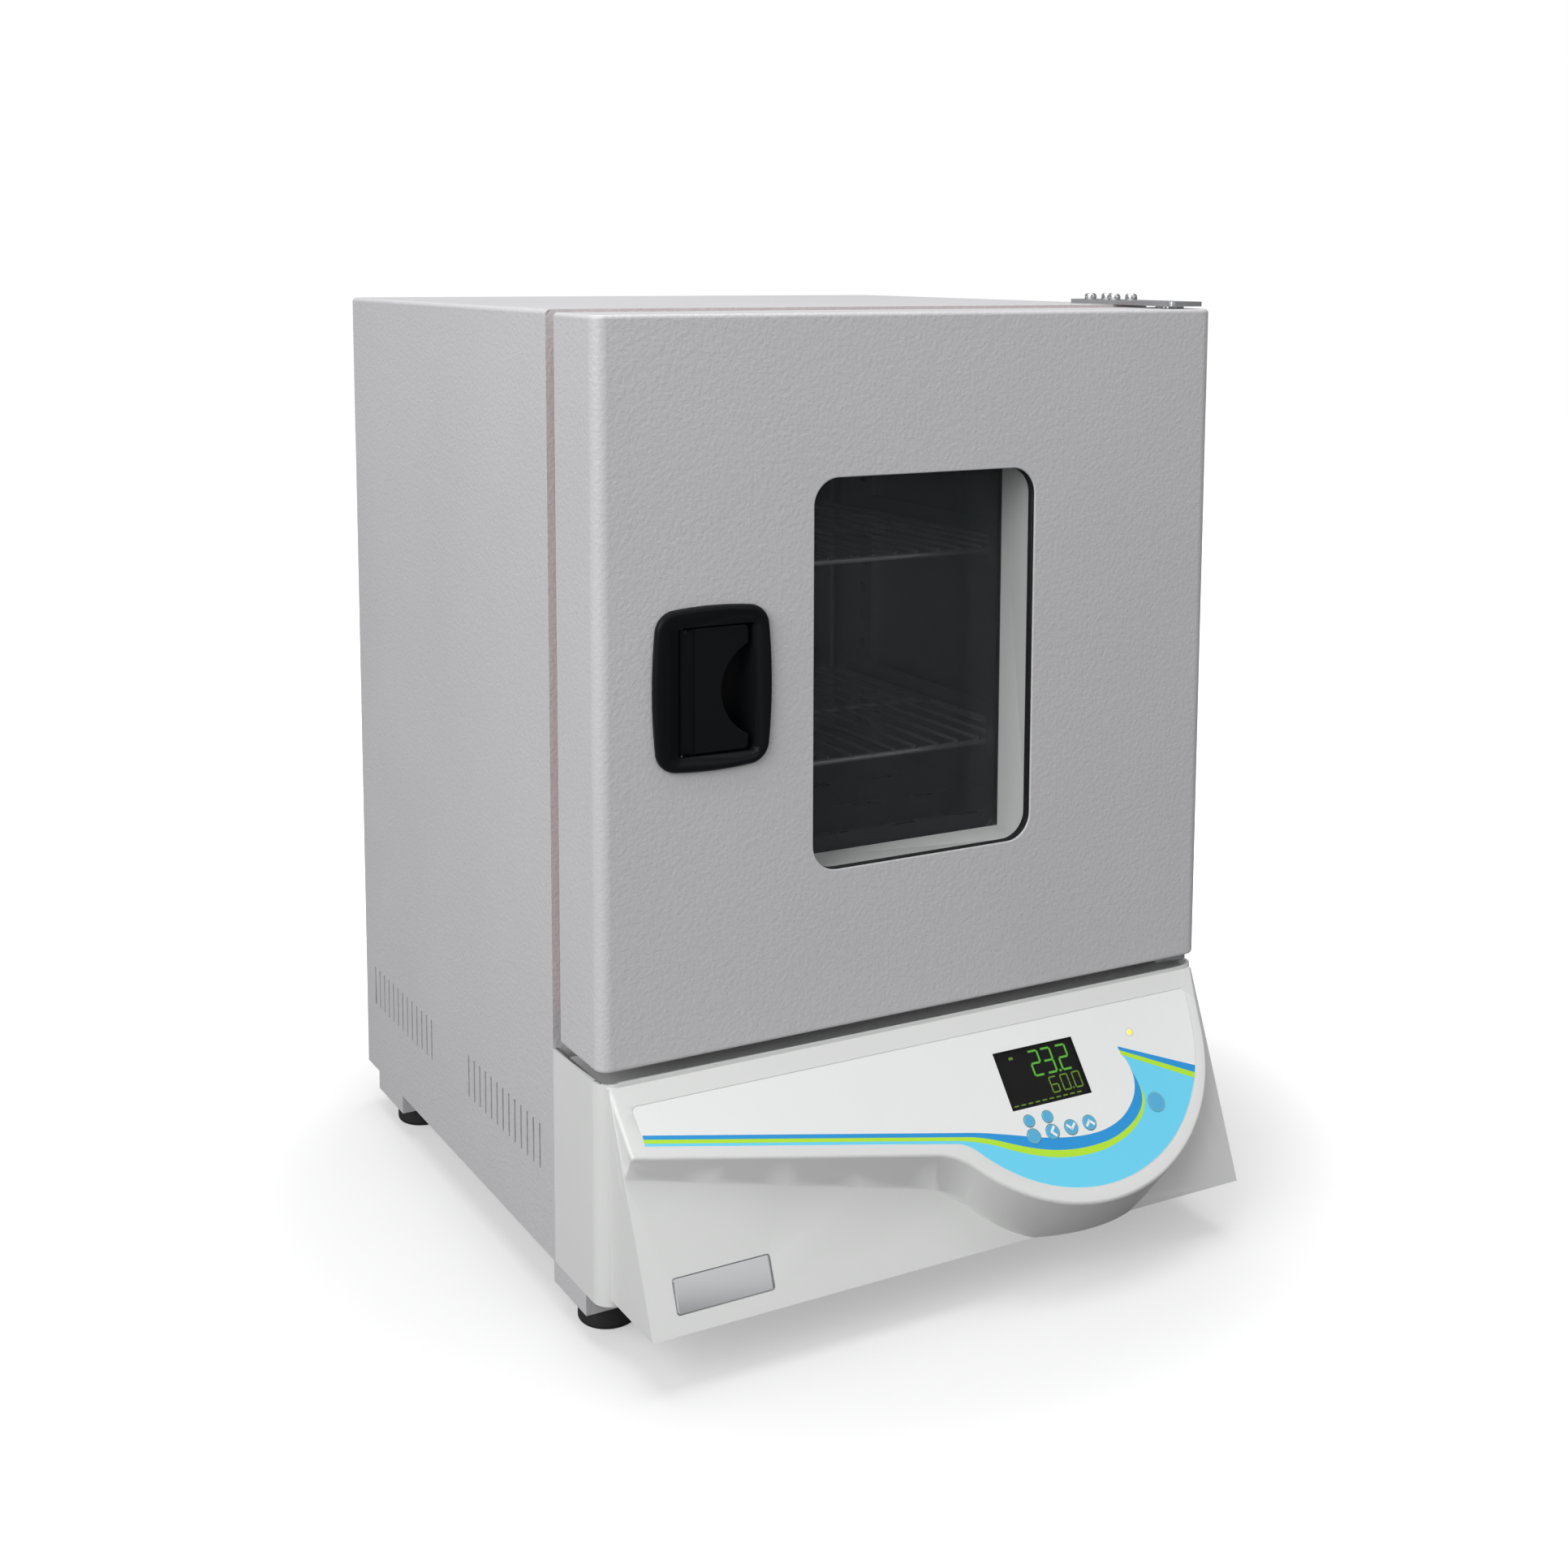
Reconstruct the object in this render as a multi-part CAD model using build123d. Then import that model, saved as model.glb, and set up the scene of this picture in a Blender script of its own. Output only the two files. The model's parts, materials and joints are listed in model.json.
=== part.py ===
from build123d import *
import os
from math import acos, atan2, cos, degrees, hypot, radians, sin

os.makedirs("parts", exist_ok=True)

# Millimetres. X runs left to right, Y from the front edge of the cabinet to the back,
# Z up from the table.
# save() moves every node so that the middle of the footprint is the origin.

# Cabinet
CASE_W = 430.0
CASE_D = 361.0
CASE_BASE = 30.0
CASE_TOP = 596.0
SHEET = 1.2
CASE_CORNER_R = 3.0
CASE_EDGE_R = 0.8
REAR_FLANGE = 12.0
HALF = CASE_W / 2
IN_HALF = HALF - SHEET
IN_TOP = CASE_TOP - SHEET
FLOOR_TOP = CASE_BASE + SHEET
REAR_IN = CASE_D - 2 * SHEET

# Side vents
VENT_W = 2.2
VENT_H = 28.5
VENT_PITCH = 10.2
VENT_COUNT = 13
VENT_Z = 93.5
VENT_FRONT_Y = 22.5
VENT_REAR_Y = 217.5
REAR_VENT_X = 40.0

# Heated chamber
CHAMBER = 310.0
CHAMBER_FLOOR = 226.0
CHAMBER_R = 12.0
CHAMBER_REAR_R = 6.0
TANK_WALL = 1.0
BAY_TOP = 164.0
INSULATION_TOP = 592.5
SLAB_GAP = 0.5
TANK_HALF = CHAMBER / 2 + TANK_WALL
TANK_TOP = CHAMBER_FLOOR + CHAMBER + TANK_WALL
TANK_BOTTOM = CHAMBER_FLOOR - TANK_WALL
TANK_REAR = CHAMBER + TANK_WALL
BAY_OPEN_X = 188.0
BAY_OPEN_Z0 = 48.0
BAY_OPEN_Z1 = 120.0

# Heating element
ELEMENT_R = 3.5
ELEMENT_LIFT = 14.0
ELEMENT_BEND_R = 20.0
ELEMENT_PITCH = 52.0
ELEMENT_FRONT_Y = 52.0
ELEMENT_INNER_Y = 212.0
ELEMENT_OUTER_Y = 262.0
ELEMENT_END_Y = 345.0
SUPPORT_Y = 130.0
SUPPORT_W = 12.0
SUPPORT_T = 6.0
HOLE_ROOM = 0.5

# Plate over the element
COVER_X = 152.0
COVER_Y0 = 14.0
COVER_Y1 = 300.0
COVER_LIFT = 26.0
COVER_SLOT_L = 40.0
COVER_SLOT_W = 6.0
COVER_SLOT_PX = 54.0
COVER_SLOT_PY = 56.0

# Temperature probe
PROBE_X = 70.0
PROBE_Z = 400.0
PROBE_R = 2.5
PROBE_TIP_R = 2.0
PROBE_REACH = 42.0
PROBE_COLLAR_R = 6.0
PROBE_COLLAR_T = 4.0

# Shelves and what carries them
SHELF_Z = (306.0, 435.0)
SHELF_RAIL_R = 2.0
SHELF_WIRE_R = 1.25
SHELF_SINK = 0.35
SHELF_HALF = 143.0
SHELF_Y0 = 24.0
SHELF_Y1 = 288.0
SHELF_CORNER_R = 10.0
SHELF_PITCH = 16.5
SHELF_WIRES = 17
SHELF_REST_GAP = 0.3
PILASTER_Y = (58.0, 244.0)
PILASTER_W = 20.0
PILASTER_T = 1.0
PILASTER_STAND = 6.0
PILASTER_Z0 = 256.0
PILASTER_Z1 = 520.0
PILASTER_SLOT_W = 12.0
PILASTER_SLOT_H = 8.0
PILASTER_STEP = 21.5
PILASTER_FIRST = 266.5
PILASTER_SLOTS = 12
RUNNER_T = 1.2
RUNNER_FOOT = 8.5
RUNNER_RISE = 14.0
RUNNER_Y0 = 30.0
RUNNER_Y1 = 286.0
HOOK_REACH = 3.0
HOOK_H = 4.0
HOOK_LIFT = 3.50

# Exhaust duct and its damper
DUCT_Z = 505.0
DUCT_R = 19.0
DUCT_WALL = 1.5
DUCT_INSIDE = 5.0
DUCT_COLLAR_R = 27.0
DUCT_COLLAR_T = 2.0
DUCT_HOLE_R = 5.5
DUCT_HOLE_AT = 11.0
DUCT_HOLES = 3
DAMPER_R = 24.0
DAMPER_T = 2.0
DAMPER_GAP = 0.4
DAMPER_KNOB_R = 7.0
DAMPER_KNOB_H = 8.0
DAMPER_PIN_R = 2.5
PIN_ROOM = 0.05
# How near two measures count as the same when edges are picked
NEAR = 0.01
ROUGHLY = 0.1
REAR_REACH = CASE_D + DUCT_COLLAR_T + DAMPER_GAP + DAMPER_T + DAMPER_KNOB_H

# Electronics bay
BOARD_T = 1.6
POWER_X0 = -150.0
POWER_X1 = -30.0
POWER_Y0 = 200.0
POWER_Y1 = 300.0
POWER_STAND = 12.0
SINK_X0 = 40.0
SINK_X1 = 110.0
SINK_Y0 = 190.0
SINK_Y1 = 280.0
SINK_H = 30.0
SINK_BASE_T = 5.0
SINK_FINS = 8
SINK_FIN_T = 2.0
RELAY_W = 45.0
RELAY_L = 58.0
RELAY_H = 23.0
# Parts on the power board, from its corner at POWER_X0 and POWER_Y0
TRANSFORMER_X = (12.0, 54.0)
TRANSFORMER_Y = (30.0, 75.0)
TRANSFORMER_H = 32.2
CAPACITOR_AT = (78.0, 70.0)
CAPACITOR_R = 11.5
CAPACITOR_H = 27.6
TERMINAL_X = (72.0, 114.0)
TERMINAL_W = 12.0
INLET_X = -150.0
INLET_Z = 74.0
INLET_W = 27.5
INLET_H = 20.0
INLET_FLANGE_W = 48.0
INLET_FLANGE_H = 24.0
INLET_FLANGE_T = 2.5
INLET_BODY = 22.0
INLET_WELL = 15.0
INLET_RIM = 2.0
INLET_BLADES = ((-7.0, -2.0), (7.0, -2.0), (0.0, 2.5))
INLET_BLADE_T = 2.0

# Screws with a domed head: head radius, head height, shank radius, shank length, socket radius
HINGE_SCREW = (4.0, 4.0, 2.0, 12.0, 1.9)
SHEET_SCREW = (3.5, 2.2, 1.5, 8.0, 1.6)
COVER_SCREW_Z = (60.0, 240.0, 420.0, 570.0)
COVER_SCREW_X = 70.0

# Feet
FOOT_R = 18.0
FOOT_H = 17.0
FOOT_EDGE_R = 3.0
FOOT_BOSS_R = 12.0
FOOT_X = 191.0
FOOT_FRONT_Y = -22.5
FOOT_REAR_Y = 309.0
FOOT_WELL_R = 7.0
FOOT_WELL = 6.0
FOOT_HEAD_R = 5.5
FOOT_HEAD_H = 3.0
FOOT_SHANK_R = 3.0
FOOT_SHANK_END = 38.0
BRACKET_IN = 173.0
BRACKET_FRONT_Y = (-46.0, 2.0)
BRACKET_REAR_Y = (283.0, 336.0)

# Door
DOOR_TOP = 594.5
DOOR_BOTTOM = 168.7
DOOR_FRONT = -67.5
DOOR_BACK = -12.0
DOOR_CORNER_R = 8.0
DOOR_EDGE_R = 2.5
WINDOW_HALF = 77.6
WINDOW_Z0 = 266.0
WINDOW_Z1 = 499.3
WINDOW_R = 16.5
WINDOW_HEM_R = 0.8
SEAL_DEPTH = 5.9
SEAL_OUT = 6.4
SEAL_GROOVE = 3.0
SEAL_LIP = 0.9
PANE_T = 4.0
REVEAL_OUT = 4.0
REVEAL_WALL = 1.5
REVEAL_LIP = 8.0
REVEAL_LIP_R = 1.4
REVEAL_BACK = -26.3
INNER_PANE_OUT = 9.6
INNER_OPEN_R = 12.0
INNER_FLANGE_T = 1.2
GASKET_R = 4.0
GASKET_X = 207.0
GASKET_Z0 = 177.0
GASKET_Z1 = 586.5
GASKET_TIP = -0.6
GASKET_CORNER_R = 14.0
GASKET_FOOT_W = 6.0
FILL_GAP = 0.3

# Hinges
PIVOT_X = 200.0
PIVOT_Y = -42.0
HINGE_PLATE_X = (187.0, 213.0)
HINGE_PLATE_Y = (-60.0, 49.0)
HINGE_PLATE_T = 3.0
HINGE_PLATE_R = 3.0
HINGE_SCREW_X = (193.0, 207.0)
HINGE_SCREW_Y = (7.0, 33.0)
LOWER_SCREW_X = (193.0, 205.0)
LOWER_SCREW_Z = 138.0
PIN_R = 3.0
PIN_IN_DOOR = 12.0
BUSH_R = 6.0
BUSH_FLANGE_R = 9.0
BUSH_FLANGE_GAP = 0.3
BUSH_L = 14.0
LOWER_LEG_X = (187.0, 211.0)
LOWER_LEG_Z0 = 128.0
BUSH_POCKET = 2.0

# Handle and latch
HANDLE_X = -144.0
HANDLE_Z = 383.7
HANDLE_W = 75.0
HANDLE_H = 95.0
HANDLE_SIDE_BOW = 3.0
HANDLE_END_BOW = 2.5
HANDLE_CORNER_R = 13.0
HANDLE_PROUD = 4.0
HANDLE_EDGE_R = 2.6
RECESS_X = (-167.0, -118.3)
RECESS_Z = (345.5, 420.0)
RECESS_R = 2.5
RECESS_BACK = -46.0
HOUSING_WALL = 3.0
PADDLE_AXIS_X = -162.5
PADDLE_AXIS_Y = -65.0
PADDLE_BARREL_R = 3.4
PADDLE_END_X = -121.5
PADDLE_T = 4.5
PADDLE_FRONT = -69.6
PADDLE_ROOM = 1.0
PADDLE_PIN_R = 1.5
GRIP_X = -109.9
GRIP_Z = 381.5
GRIP_R = 28.7
LEVER_T = 4.0
LEVER_H = 6.0
LEVER_REACH = 12.0
LATCH_Z = 381.5
LATCH_H = 12.0
LATCH_X = (-184.0, -176.0)
LATCH_TIP = -1.0
ARM_Y = (-56.0, -49.0)
ARM_H = 8.0
ARM_END_X = -156.0
NOTCH_LEFT = 4.2
NOTCH_RIGHT = 3.0
NOTCH_DEPTH = 5.0
LATCH_STROKE = 6.0
LATCH_ROOM = 1.0
SLIDE_ROOM = 0.1
KEEPER_GAP = 1.5
KEEPER_T = 2.0
KEEPER_FOOT = 12.0
KEEPER_REACH = 9.0
KEEPER_EDGE_R = 0.6
LATCH_POCKET = 7.0

# Moulded base under the door
BASE_FRONT = -68.0
BASE_TOP = 162.0
BASE_CORNER_R = 12.0
BASE_WALL = 3.0
BASE_SINK = 6.0
BASE_OPEN_X = 196.0
BASE_OPEN_Z0 = 42.0
BASE_OPEN_Z1 = 146.0

# Console: its panel leans 39 degrees and its fascia 23 degrees from the vertical,
# both from the line at CONSOLE_TOP
CONSOLE_TOP = 160.0
CONSOLE_BOTTOM = 34.0
CONSOLE_TOP_HALF = 210.0
CONSOLE_BOTTOM_HALF = 208.0
PANEL_LEAN = 39.0
FASCIA_LEAN = 23.0
CONSOLE_WALL = 3.0
CONSOLE_INSERT = 8.0
BROW_EDGE_R = 2.5
BROW_ROOT = 6.0
# Outline of the brow on the panel plane: half width at the top, left end,
# slope of its lower edge, lobe and fillet
BROW_TOP_LEFT = -210.0
BROW_TOP_RIGHT = 211.0
BROW_LEFT = (-206.8, 40.2)
BROW_SLOPE = 0.2037
LOBE = (88.2, 11.3, 117.0)
LOBE_FILLET = 45.0
# The same outline where the brow sinks into the fascia
ROOT_TOP_LEFT = -210.0
ROOT_TOP_RIGHT = 211.0
ROOT_LEFT = (-209.5, 56.0)
ROOT_SLOPE = 0.232
ROOT_LOBE = (83.3, 42.2, 105.0)
ROOT_FILLET = 36.0

# Membrane overlay on the panel
OVERLAY_RIM = 9.2
OVERLAY_TOP = 12.0
OVERLAY_LOW = 2.8
OVERLAY_FILLET = 15.0
OVERLAY_CORNER_R = 3.5
OVERLAY_SINK = 0.8
OVERLAY_T = 0.5
LCD_X = (40.0, 100.0)
LCD_S = (27.0, 63.7)
LCD_RIM = 2.0
LCD_WINDOW_T = 2.0
MODULE_RIM = 5.0
MODULE_T = 6.0
MODULE_STEP = 0.8
LED_AT = (143.8, 32.5)
LED_R = 1.6
LED_PROUD = 0.2
CONTROL_X = (20.0, 168.0)
CONTROL_S = (16.0, 88.0)
CONTROL_H = -10.6
BOSS_R = 3.0
BOSS_AT = ((25.0, 21.0), (160.0, 21.0), (28.0, 83.0), (163.0, 83.0))
KEY_SMALL_R = 3.8
KEY_MEDIUM_R = 4.7
KEY_POWER_R = 6.4
KEYS = {
    "key_menu": (48.7, 71.4, KEY_SMALL_R),
    "key_timer": (62.3, 71.4, KEY_SMALL_R),
    "key_set": (48.2, 80.9, KEY_MEDIUM_R),
    "key_left": (62.1, 80.9, KEY_MEDIUM_R),
    "key_down": (76.0, 80.9, KEY_MEDIUM_R),
    "key_up": (89.9, 80.9, KEY_MEDIUM_R),
    "key_power": (142.9, 78.5, KEY_POWER_R),
}
KEY_PROUD = 0.5
KEY_EDGE_R = 0.40
KEY_ROOM = 0.3
KEY_EAR_T = 1.0
KEY_EAR_W = 4.0
KEY_EAR_OUT = 1.3
KEY_STEM_END = -5.0
SWITCH_SIZE = 5.0
SWITCH_H = 3.0
SWITCH_DOT_R = 1.5
SWITCH_DOT_TOP = -5.9

# Bare plate on the fascia
BADGE_X = (-191.0, -128.8)
BADGE_Z = (43.5, 62.0)
BADGE_SINK = 1.5
BADGE_T = 1.3
BADGE_R = 2.0
BADGE_ROOM = 0.2
BADGE_BEVEL = 0.6

# The console reaches furthest forward at the lowest point of the lobe
FRONT_REACH = BASE_FRONT - (LOBE[1] + LOBE[2]) * sin(radians(PANEL_LEAN))
CENTRE_Y = (FRONT_REACH + REAR_REACH) / 2

PANEL = Plane(
    origin=(0, BASE_FRONT, CONSOLE_TOP),
    x_dir=(1, 0, 0),
    z_dir=(0, -cos(radians(PANEL_LEAN)), sin(radians(PANEL_LEAN))),
)
FASCIA = Plane(
    origin=(0, BASE_FRONT, CONSOLE_TOP),
    x_dir=(1, 0, 0),
    z_dir=(0, -cos(radians(FASCIA_LEAN)), sin(radians(FASCIA_LEAN))),
)


def block(x, y, z):
    """Box from its pairs of faces along X, Y and Z."""
    middle = [(low + high) / 2 for low, high in (x, y, z)]
    size = [high - low for low, high in (x, y, z)]
    return Pos(*middle) * Box(*size)


def rounded(x, z, radius):
    """Flat rectangle with round corners from its pairs of edges."""
    middle = Pos((x[0] + x[1]) / 2, (z[0] + z[1]) / 2)
    return middle * RectangleRounded(x[1] - x[0], z[1] - z[0], radius)


def edges_at(solid, y):
    """Edges of a solid that lie at one depth."""
    return [e for e in solid.edges() if abs(e.center().Y - y) < NEAR]


def front_plate(sketch, y0, y1):
    """Outline drawn in X and Z, made solid from y0 to y1."""
    plane = Plane(origin=(0, y1, 0), x_dir=(1, 0, 0), z_dir=(0, -1, 0))
    return extrude(plane * sketch, amount=y1 - y0)


def level_plate(sketch, z0, z1):
    """Outline drawn in X and Y, made solid from z0 to z1."""
    return extrude(Pos(0, 0, z0) * sketch, amount=z1 - z0)


def bar(radius, start, direction, length):
    """Round bar from a start point."""
    return Part(Solid.make_cylinder(radius, length, Plane(origin=start, z_dir=direction)).wrapped)


def ring(outer, inner, start, direction, length):
    """Round tube from a start point."""
    return bar(outer, start, direction, length) - bar(inner, start, direction, length)


def round_loop(radius, corners, corner_r):
    """Closed round bar through the corners."""
    path = FilletPolyline(*corners, radius=corner_r, close=True)
    return sweep((path ^ 0) * Circle(radius), path=path)


def arch(half, z0, z1, radius):
    """Rectangle whose two upper corners are round."""
    top = FilletPolyline((-half, z0), (-half, z1), (half, z1), (half, z0), radius=radius)
    return make_face([*top.edges(), Line((half, z0), (-half, z0))])


def group(solids):
    """Separate solids kept in one node."""
    return Compound([solid for item in solids for solid in item.solids()])


def mirrored(item):
    """The same piece on the other side of the middle plane."""
    return mirror(item, about=Plane.YZ)


def screw(size, at, direction):
    """Domed screw whose head sits at the point and whose shank goes the other way."""
    head_r, head_h, shank_r, shank_l, socket_r = size
    head = Cylinder(head_r, head_h, align=(Align.CENTER, Align.CENTER, Align.MIN))
    head = fillet(head.edges().sort_by(Axis.Z)[-1], head_h / 2)
    head += Cylinder(shank_r, shank_l, align=(Align.CENTER, Align.CENTER, Align.MAX))
    socket = Pos(0, 0, head_h) * extrude(RegularPolygon(socket_r, 6), amount=-head_h / 2)
    return Plane(origin=at, z_dir=direction) * (head - socket)


def side_vents():
    """Slots through both side walls, in two rows."""
    cuts = []
    for start in (VENT_FRONT_Y, VENT_REAR_Y):
        for i in range(VENT_COUNT):
            y = start + VENT_PITCH * i
            slot = block(
                (-HALF - SHEET, HALF + SHEET),
                (y - VENT_W / 2, y + VENT_W / 2),
                (VENT_Z - VENT_H / 2, VENT_Z + VENT_H / 2),
            )
            cuts.append(slot)
    return cuts


def cover_screw_places():
    """Points of the screws round the rear cover."""
    x = IN_HALF - REAR_FLANGE / 2
    places = [(side * x, z) for side in (-1, 1) for z in COVER_SCREW_Z]
    places += [(side * COVER_SCREW_X, IN_TOP - REAR_FLANGE / 2) for side in (-1, 1)]
    return places


def cabinet():
    """Case, rear cover, floor, front sheet and the plate under the insulation."""
    outer = front_plate(arch(HALF, CASE_BASE, CASE_TOP, CASE_CORNER_R), 0, CASE_D)
    inner = front_plate(arch(IN_HALF, CASE_BASE, IN_TOP, CASE_CORNER_R - SHEET), -SHEET, CASE_D + SHEET)
    flange = front_plate(arch(IN_HALF, FLOOR_TOP, IN_TOP, CASE_CORNER_R - SHEET), REAR_IN, CASE_D - SHEET)
    opening = (-IN_HALF + REAR_FLANGE, IN_HALF - REAR_FLANGE)
    flange -= block(opening, (REAR_IN, CASE_D - SHEET), (CASE_BASE, IN_TOP - REAR_FLANGE))
    case = outer - inner + flange
    case -= side_vents()
    shank_r = SHEET_SCREW[2]
    rear_holes = [
        bar(shank_r, (x, CASE_D, z), (0, -1, 0), CASE_D - REAR_IN) for x, z in cover_screw_places()
    ]
    case -= rear_holes
    plate_y = [(x, y, CASE_TOP) for x in HINGE_SCREW_X for y in HINGE_SCREW_Y]
    case -= [bar(HINGE_SCREW[2], at, (0, 0, -1), SHEET) for at in plate_y]

    cover = front_plate(arch(IN_HALF, CASE_BASE, IN_TOP, CASE_CORNER_R - SHEET), CASE_D - SHEET, CASE_D)
    cover -= rear_holes
    cover -= bar(DUCT_R, (0, CASE_D, DUCT_Z), (0, -1, 0), SHEET)
    inlet_hole = (INLET_X - INLET_W / 2, INLET_X + INLET_W / 2)
    cover -= block(inlet_hole, (REAR_IN, CASE_D), (INLET_Z - INLET_H / 2, INLET_Z + INLET_H / 2))
    for i in range(VENT_COUNT):
        x = REAR_VENT_X + VENT_PITCH * i
        slot_z = (VENT_Z - VENT_H / 2, VENT_Z + VENT_H / 2)
        cover -= block((x - VENT_W / 2, x + VENT_W / 2), (REAR_IN, CASE_D), slot_z)

    floor = block((-IN_HALF, IN_HALF), (0, CASE_D - SHEET), (CASE_BASE, FLOOR_TOP))
    nose_half = HALF - BASE_WALL
    nose = Pos(0, BASE_FRONT + BASE_WALL) * Rectangle(
        2 * nose_half, -2 * (BASE_FRONT + BASE_WALL), align=(Align.CENTER, Align.MIN)
    )
    nose = fillet(nose.vertices(), BASE_CORNER_R - BASE_WALL)
    nose = level_plate(nose, CASE_BASE, FLOOR_TOP)
    floor += nose & block((-HALF, HALF), (BASE_FRONT, 0), (CASE_BASE, FLOOR_TOP))
    floor -= [bar(FOOT_SHANK_R, (x, y, CASE_BASE), (0, 0, 1), SHEET) for x, y in foot_places()]

    front = front_plate(arch(IN_HALF, FLOOR_TOP, IN_TOP, CASE_CORNER_R - SHEET), 0, SHEET)
    mouth = rounded((-CHAMBER / 2, CHAMBER / 2), (CHAMBER_FLOOR, CHAMBER_FLOOR + CHAMBER), CHAMBER_R)
    front -= front_plate(mouth, 0, SHEET)
    front -= block((-BAY_OPEN_X, BAY_OPEN_X), (0, SHEET), (BAY_OPEN_Z0, BAY_OPEN_Z1))
    front -= [bar(HINGE_SCREW[2], at, (0, 1, 0), SHEET) for at in lower_screw_places(0)]

    divider = block((-IN_HALF, IN_HALF), (SHEET, REAR_IN), (BAY_TOP, BAY_TOP + SHEET))
    screws = [screw(SHEET_SCREW, (x, CASE_D, z), (0, 1, 0)) for x, z in cover_screw_places()]
    return {
        "outer_case": case,
        "rear_cover": cover,
        "bottom_plate": floor,
        "front_frame": front,
        "divider_plate": divider,
        "rear_cover_screws": group(screws),
    }


def keeper():
    """Angle on the front sheet, beside the path of the latch tongue."""
    right = LATCH_X[0] - KEEPER_GAP
    z = (LATCH_Z - LATCH_H / 2 - KEEPER_T, LATCH_Z + LATCH_H / 2 + KEEPER_T)
    angle = block((right - KEEPER_FOOT, right), (-KEEPER_T, 0), z)
    angle += block((right - KEEPER_T, right), (-KEEPER_REACH, 0), z)
    nose = angle.edges().filter_by(Axis.Z).group_by(Axis.Y)[0]
    return fillet(nose, KEEPER_EDGE_R)


def lower_screw_places(y):
    """Points of the screws of the lower hinge bracket."""
    return [(x, y, LOWER_SCREW_Z) for x in LOWER_SCREW_X]


def foot_places():
    """Middle of each foot."""
    return [(side * FOOT_X, y) for side in (-1, 1) for y in (FOOT_FRONT_Y, FOOT_REAR_Y)]


def chamber():
    """Stainless tank and its insulation."""
    half = CHAMBER / 2
    top = CHAMBER_FLOOR + CHAMBER
    outer = rounded((-TANK_HALF, TANK_HALF), (TANK_BOTTOM, TANK_TOP), CHAMBER_R + TANK_WALL)
    outer = front_plate(outer, SHEET, TANK_REAR)
    outer = fillet(outer.faces().sort_by(Axis.Y)[-1].edges(), CHAMBER_REAR_R + TANK_WALL)
    inner = front_plate(rounded((-half, half), (CHAMBER_FLOOR, top), CHAMBER_R), 0, CHAMBER)
    inner = fillet(inner.faces().sort_by(Axis.Y)[-1].edges(), CHAMBER_REAR_R)
    tank = outer - inner
    ends = [(side * ELEMENT_PITCH / 2, CHAMBER, CHAMBER_FLOOR + ELEMENT_LIFT) for side in (-1, 1)]
    tank -= [bar(ELEMENT_R, at, (0, 1, 0), TANK_WALL) for at in ends]
    tank -= bar(DUCT_R, (0, CHAMBER, DUCT_Z), (0, 1, 0), TANK_WALL)
    tank -= bar(PROBE_R, (PROBE_X, CHAMBER, PROBE_Z), (0, 1, 0), TANK_WALL)

    depth = (SHEET, REAR_IN)
    low = BAY_TOP + SHEET
    side = block((TANK_HALF, IN_HALF), depth, (low, INSULATION_TOP))
    plate_room_x = (HINGE_PLATE_X[0] - SHEET, IN_HALF)
    plate_pocket = block(plate_room_x, (SHEET, HINGE_PLATE_Y[1]), (DOOR_TOP - BUSH_L, IN_TOP))
    across = (-TANK_HALF + SLAB_GAP, TANK_HALF - SLAB_GAP)
    upper = block(across, depth, (TANK_TOP, INSULATION_TOP))
    lower = block(across, depth, (low, TANK_BOTTOM))
    rear = block(across, (TANK_REAR, REAR_IN), (TANK_BOTTOM + SLAB_GAP, TANK_TOP - SLAB_GAP))
    for x, y, z in ends:
        rear -= bar(ELEMENT_R + HOLE_ROOM, (x, TANK_REAR, z), (0, 1, 0), REAR_IN - TANK_REAR)
    rear -= bar(DUCT_R + HOLE_ROOM, (0, TANK_REAR, DUCT_Z), (0, 1, 0), REAR_IN - TANK_REAR)
    rear -= bar(PROBE_R + HOLE_ROOM, (PROBE_X, TANK_REAR, PROBE_Z), (0, 1, 0), REAR_IN - TANK_REAR)
    length = SHEET_SCREW[3] + HOLE_ROOM
    bores = [
        bar(SHEET_SCREW[2] + HOLE_ROOM, (x, CASE_D, z), (0, -1, 0), length) for x, z in cover_screw_places()
    ]
    side -= bores
    upper -= bores
    slabs = [side - plate_pocket, mirrored(side), upper, lower, rear]
    return {"inner_chamber": tank, "insulation": group(slabs), "latch_keeper": keeper()}


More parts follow.
